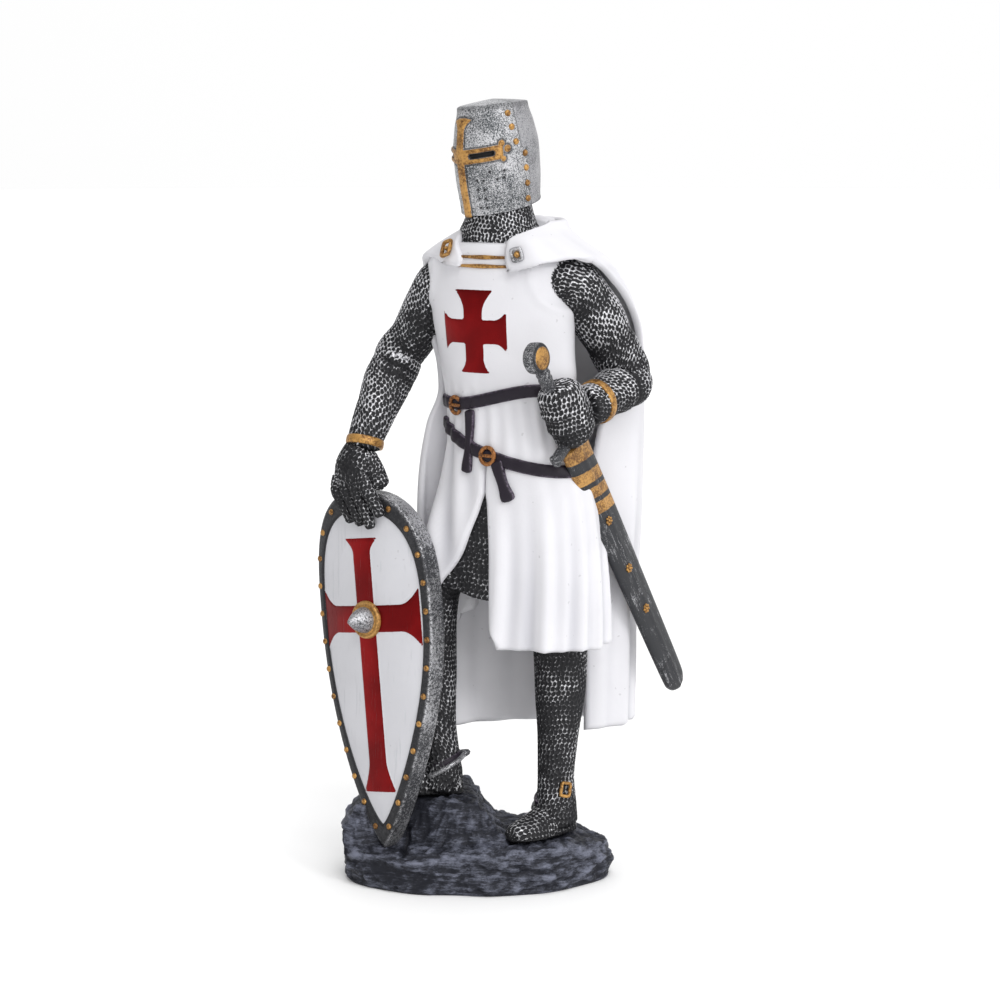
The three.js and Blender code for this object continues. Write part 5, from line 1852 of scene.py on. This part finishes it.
# %% Rock
rock_turn = math.radians(35)
rock_across = np.array([math.cos(rock_turn), math.sin(rock_turn), 0])
rock_back = np.array([-math.sin(rock_turn), math.cos(rock_turn), 0])


def rock_reach(angle):
    own = wrapped(angle - rock_turn)
    oval = 1 / np.hypot(np.cos(own) / 30.7, np.sin(own) / 20.8)
    end = 0.03 * hill(np.abs(own), math.pi, 0.6)
    return oval * (1 + end + 0.018 * np.sin(5 * own + 1) + 0.014 * np.sin(9 * own + 2.2))


def rock_top(x, y):
    across = x * math.cos(rock_turn) + y * math.sin(rock_turn)
    back = y * math.cos(rock_turn) - x * math.sin(rock_turn)
    thin = 2.1 * (1 - ramp(-24, 2, across)) * (1 - ramp(-9, 0, back))
    foot = mix(-6.5, -12, ramp(-18, -4, across))
    rise = (1 - ramp(-1.5, 7.5, across + 0.1 * back)) * ramp(foot - 1, foot + 3, back)
    ends = 3 * (1 - ramp(-31, -22, across)) * rise + 1.4 * ramp(20, 29, across)
    return slab - thin * (1 - rise) + step_height * rise - ends


def rock():
    columns = 320
    profile = [(s, 0.0) for s in (0, 0.5, 0.94)] + [(0.965, 0.01), (0.975, 0.04)]
    profile += [(mix(0.98, 1.0, min(1, h * 5)), h) for h in np.linspace(0.07, 0.72, 34)]
    profile += [(0.995, 0.76), (0.988, 0.82), (0.978, 0.88), (0.965, 0.93), (0.945, 0.97), (0.92, 0.995)]
    profile += [(s, 1.0) for s in np.linspace(0.9, 0, 74)]
    share, height = two_columns(profile)
    angle = full_turn(columns)
    wave = 0.02 * np.sin(7 * angle + 9 * height) * np.minimum(1, height * 3)
    reach = rock_reach(angle) * share * (1 + wave)
    x, y = reach * np.cos(angle), reach * np.sin(angle)
    places = point(x, y, rock_top(x, y) * height)
    out = outward(places)
    chips = np.zeros(places.shape[:2])
    for j, row in enumerate(places):
        for i, spot in enumerate(row):
            v = Vector(spot)
            near = noise.voronoi(v * 0.23 + Vector((0, 0, v.z * 0.15)))[0]
            facet = near[1] - near[0]
            strata = noise.noise(Vector((v.x * 0.16, v.y * 0.16, v.z * 0.85)))
            grain = noise.fractal(v * 0.8, 0.8, 2.1, 4)
            chips[j, i] = 1.15 * min(facet, 0.7) - 0.55 + 0.5 * strata + 0.28 * grain
    chips[:, -1] = chips[:, 0]
    spot = shield_tip + np.array([5.2, 0.4, -3.8])
    up = places[..., 2]
    across, ahead = (places - spot) @ rock_across, (places - spot) @ rock_back
    crack = hill(across + 0.3 * np.sin(up), 0, 0.7) * (np.abs(ahead) < 5) * ramp(0.5, 3, up)
    pit_side = places @ rock_across - 11.2
    in_front = places @ rock_back < 0
    pit = hill(pit_side + 0.35 * (up - 5.5), 0, 1.2) * hill(up, 5.5, 2.4) * in_front
    crack = np.maximum(crack, 0.8 * pit)
    calm = ramp(0.02, 0.12, height) * ramp(0, 0.06, share)
    places = places + out * ((chips * 1.05 - 1.6 * crack) * calm)[..., None]
    places[..., 2] = np.maximum(places[..., 2], 0)
    lip = hill(height, 0.86, 0.12) * (share > 0.9)
    relief = np.clip(0.42 + 0.6 * chips + 0.3 * lip, 0, 1) * (1 - crack)
    return welded(grid_mesh("rock", places, {"relief": relief}))


figure_piece("rock", rock(), slate)

# %% [markdown]
# ## The triangle count
#
# The triangles of all dressed pieces are added up. The dressed pieces must not make the statue
# larger than its solids, apart from a small margin.

# %% Triangle count
print("triangles in all", sum(count for _, count in built))
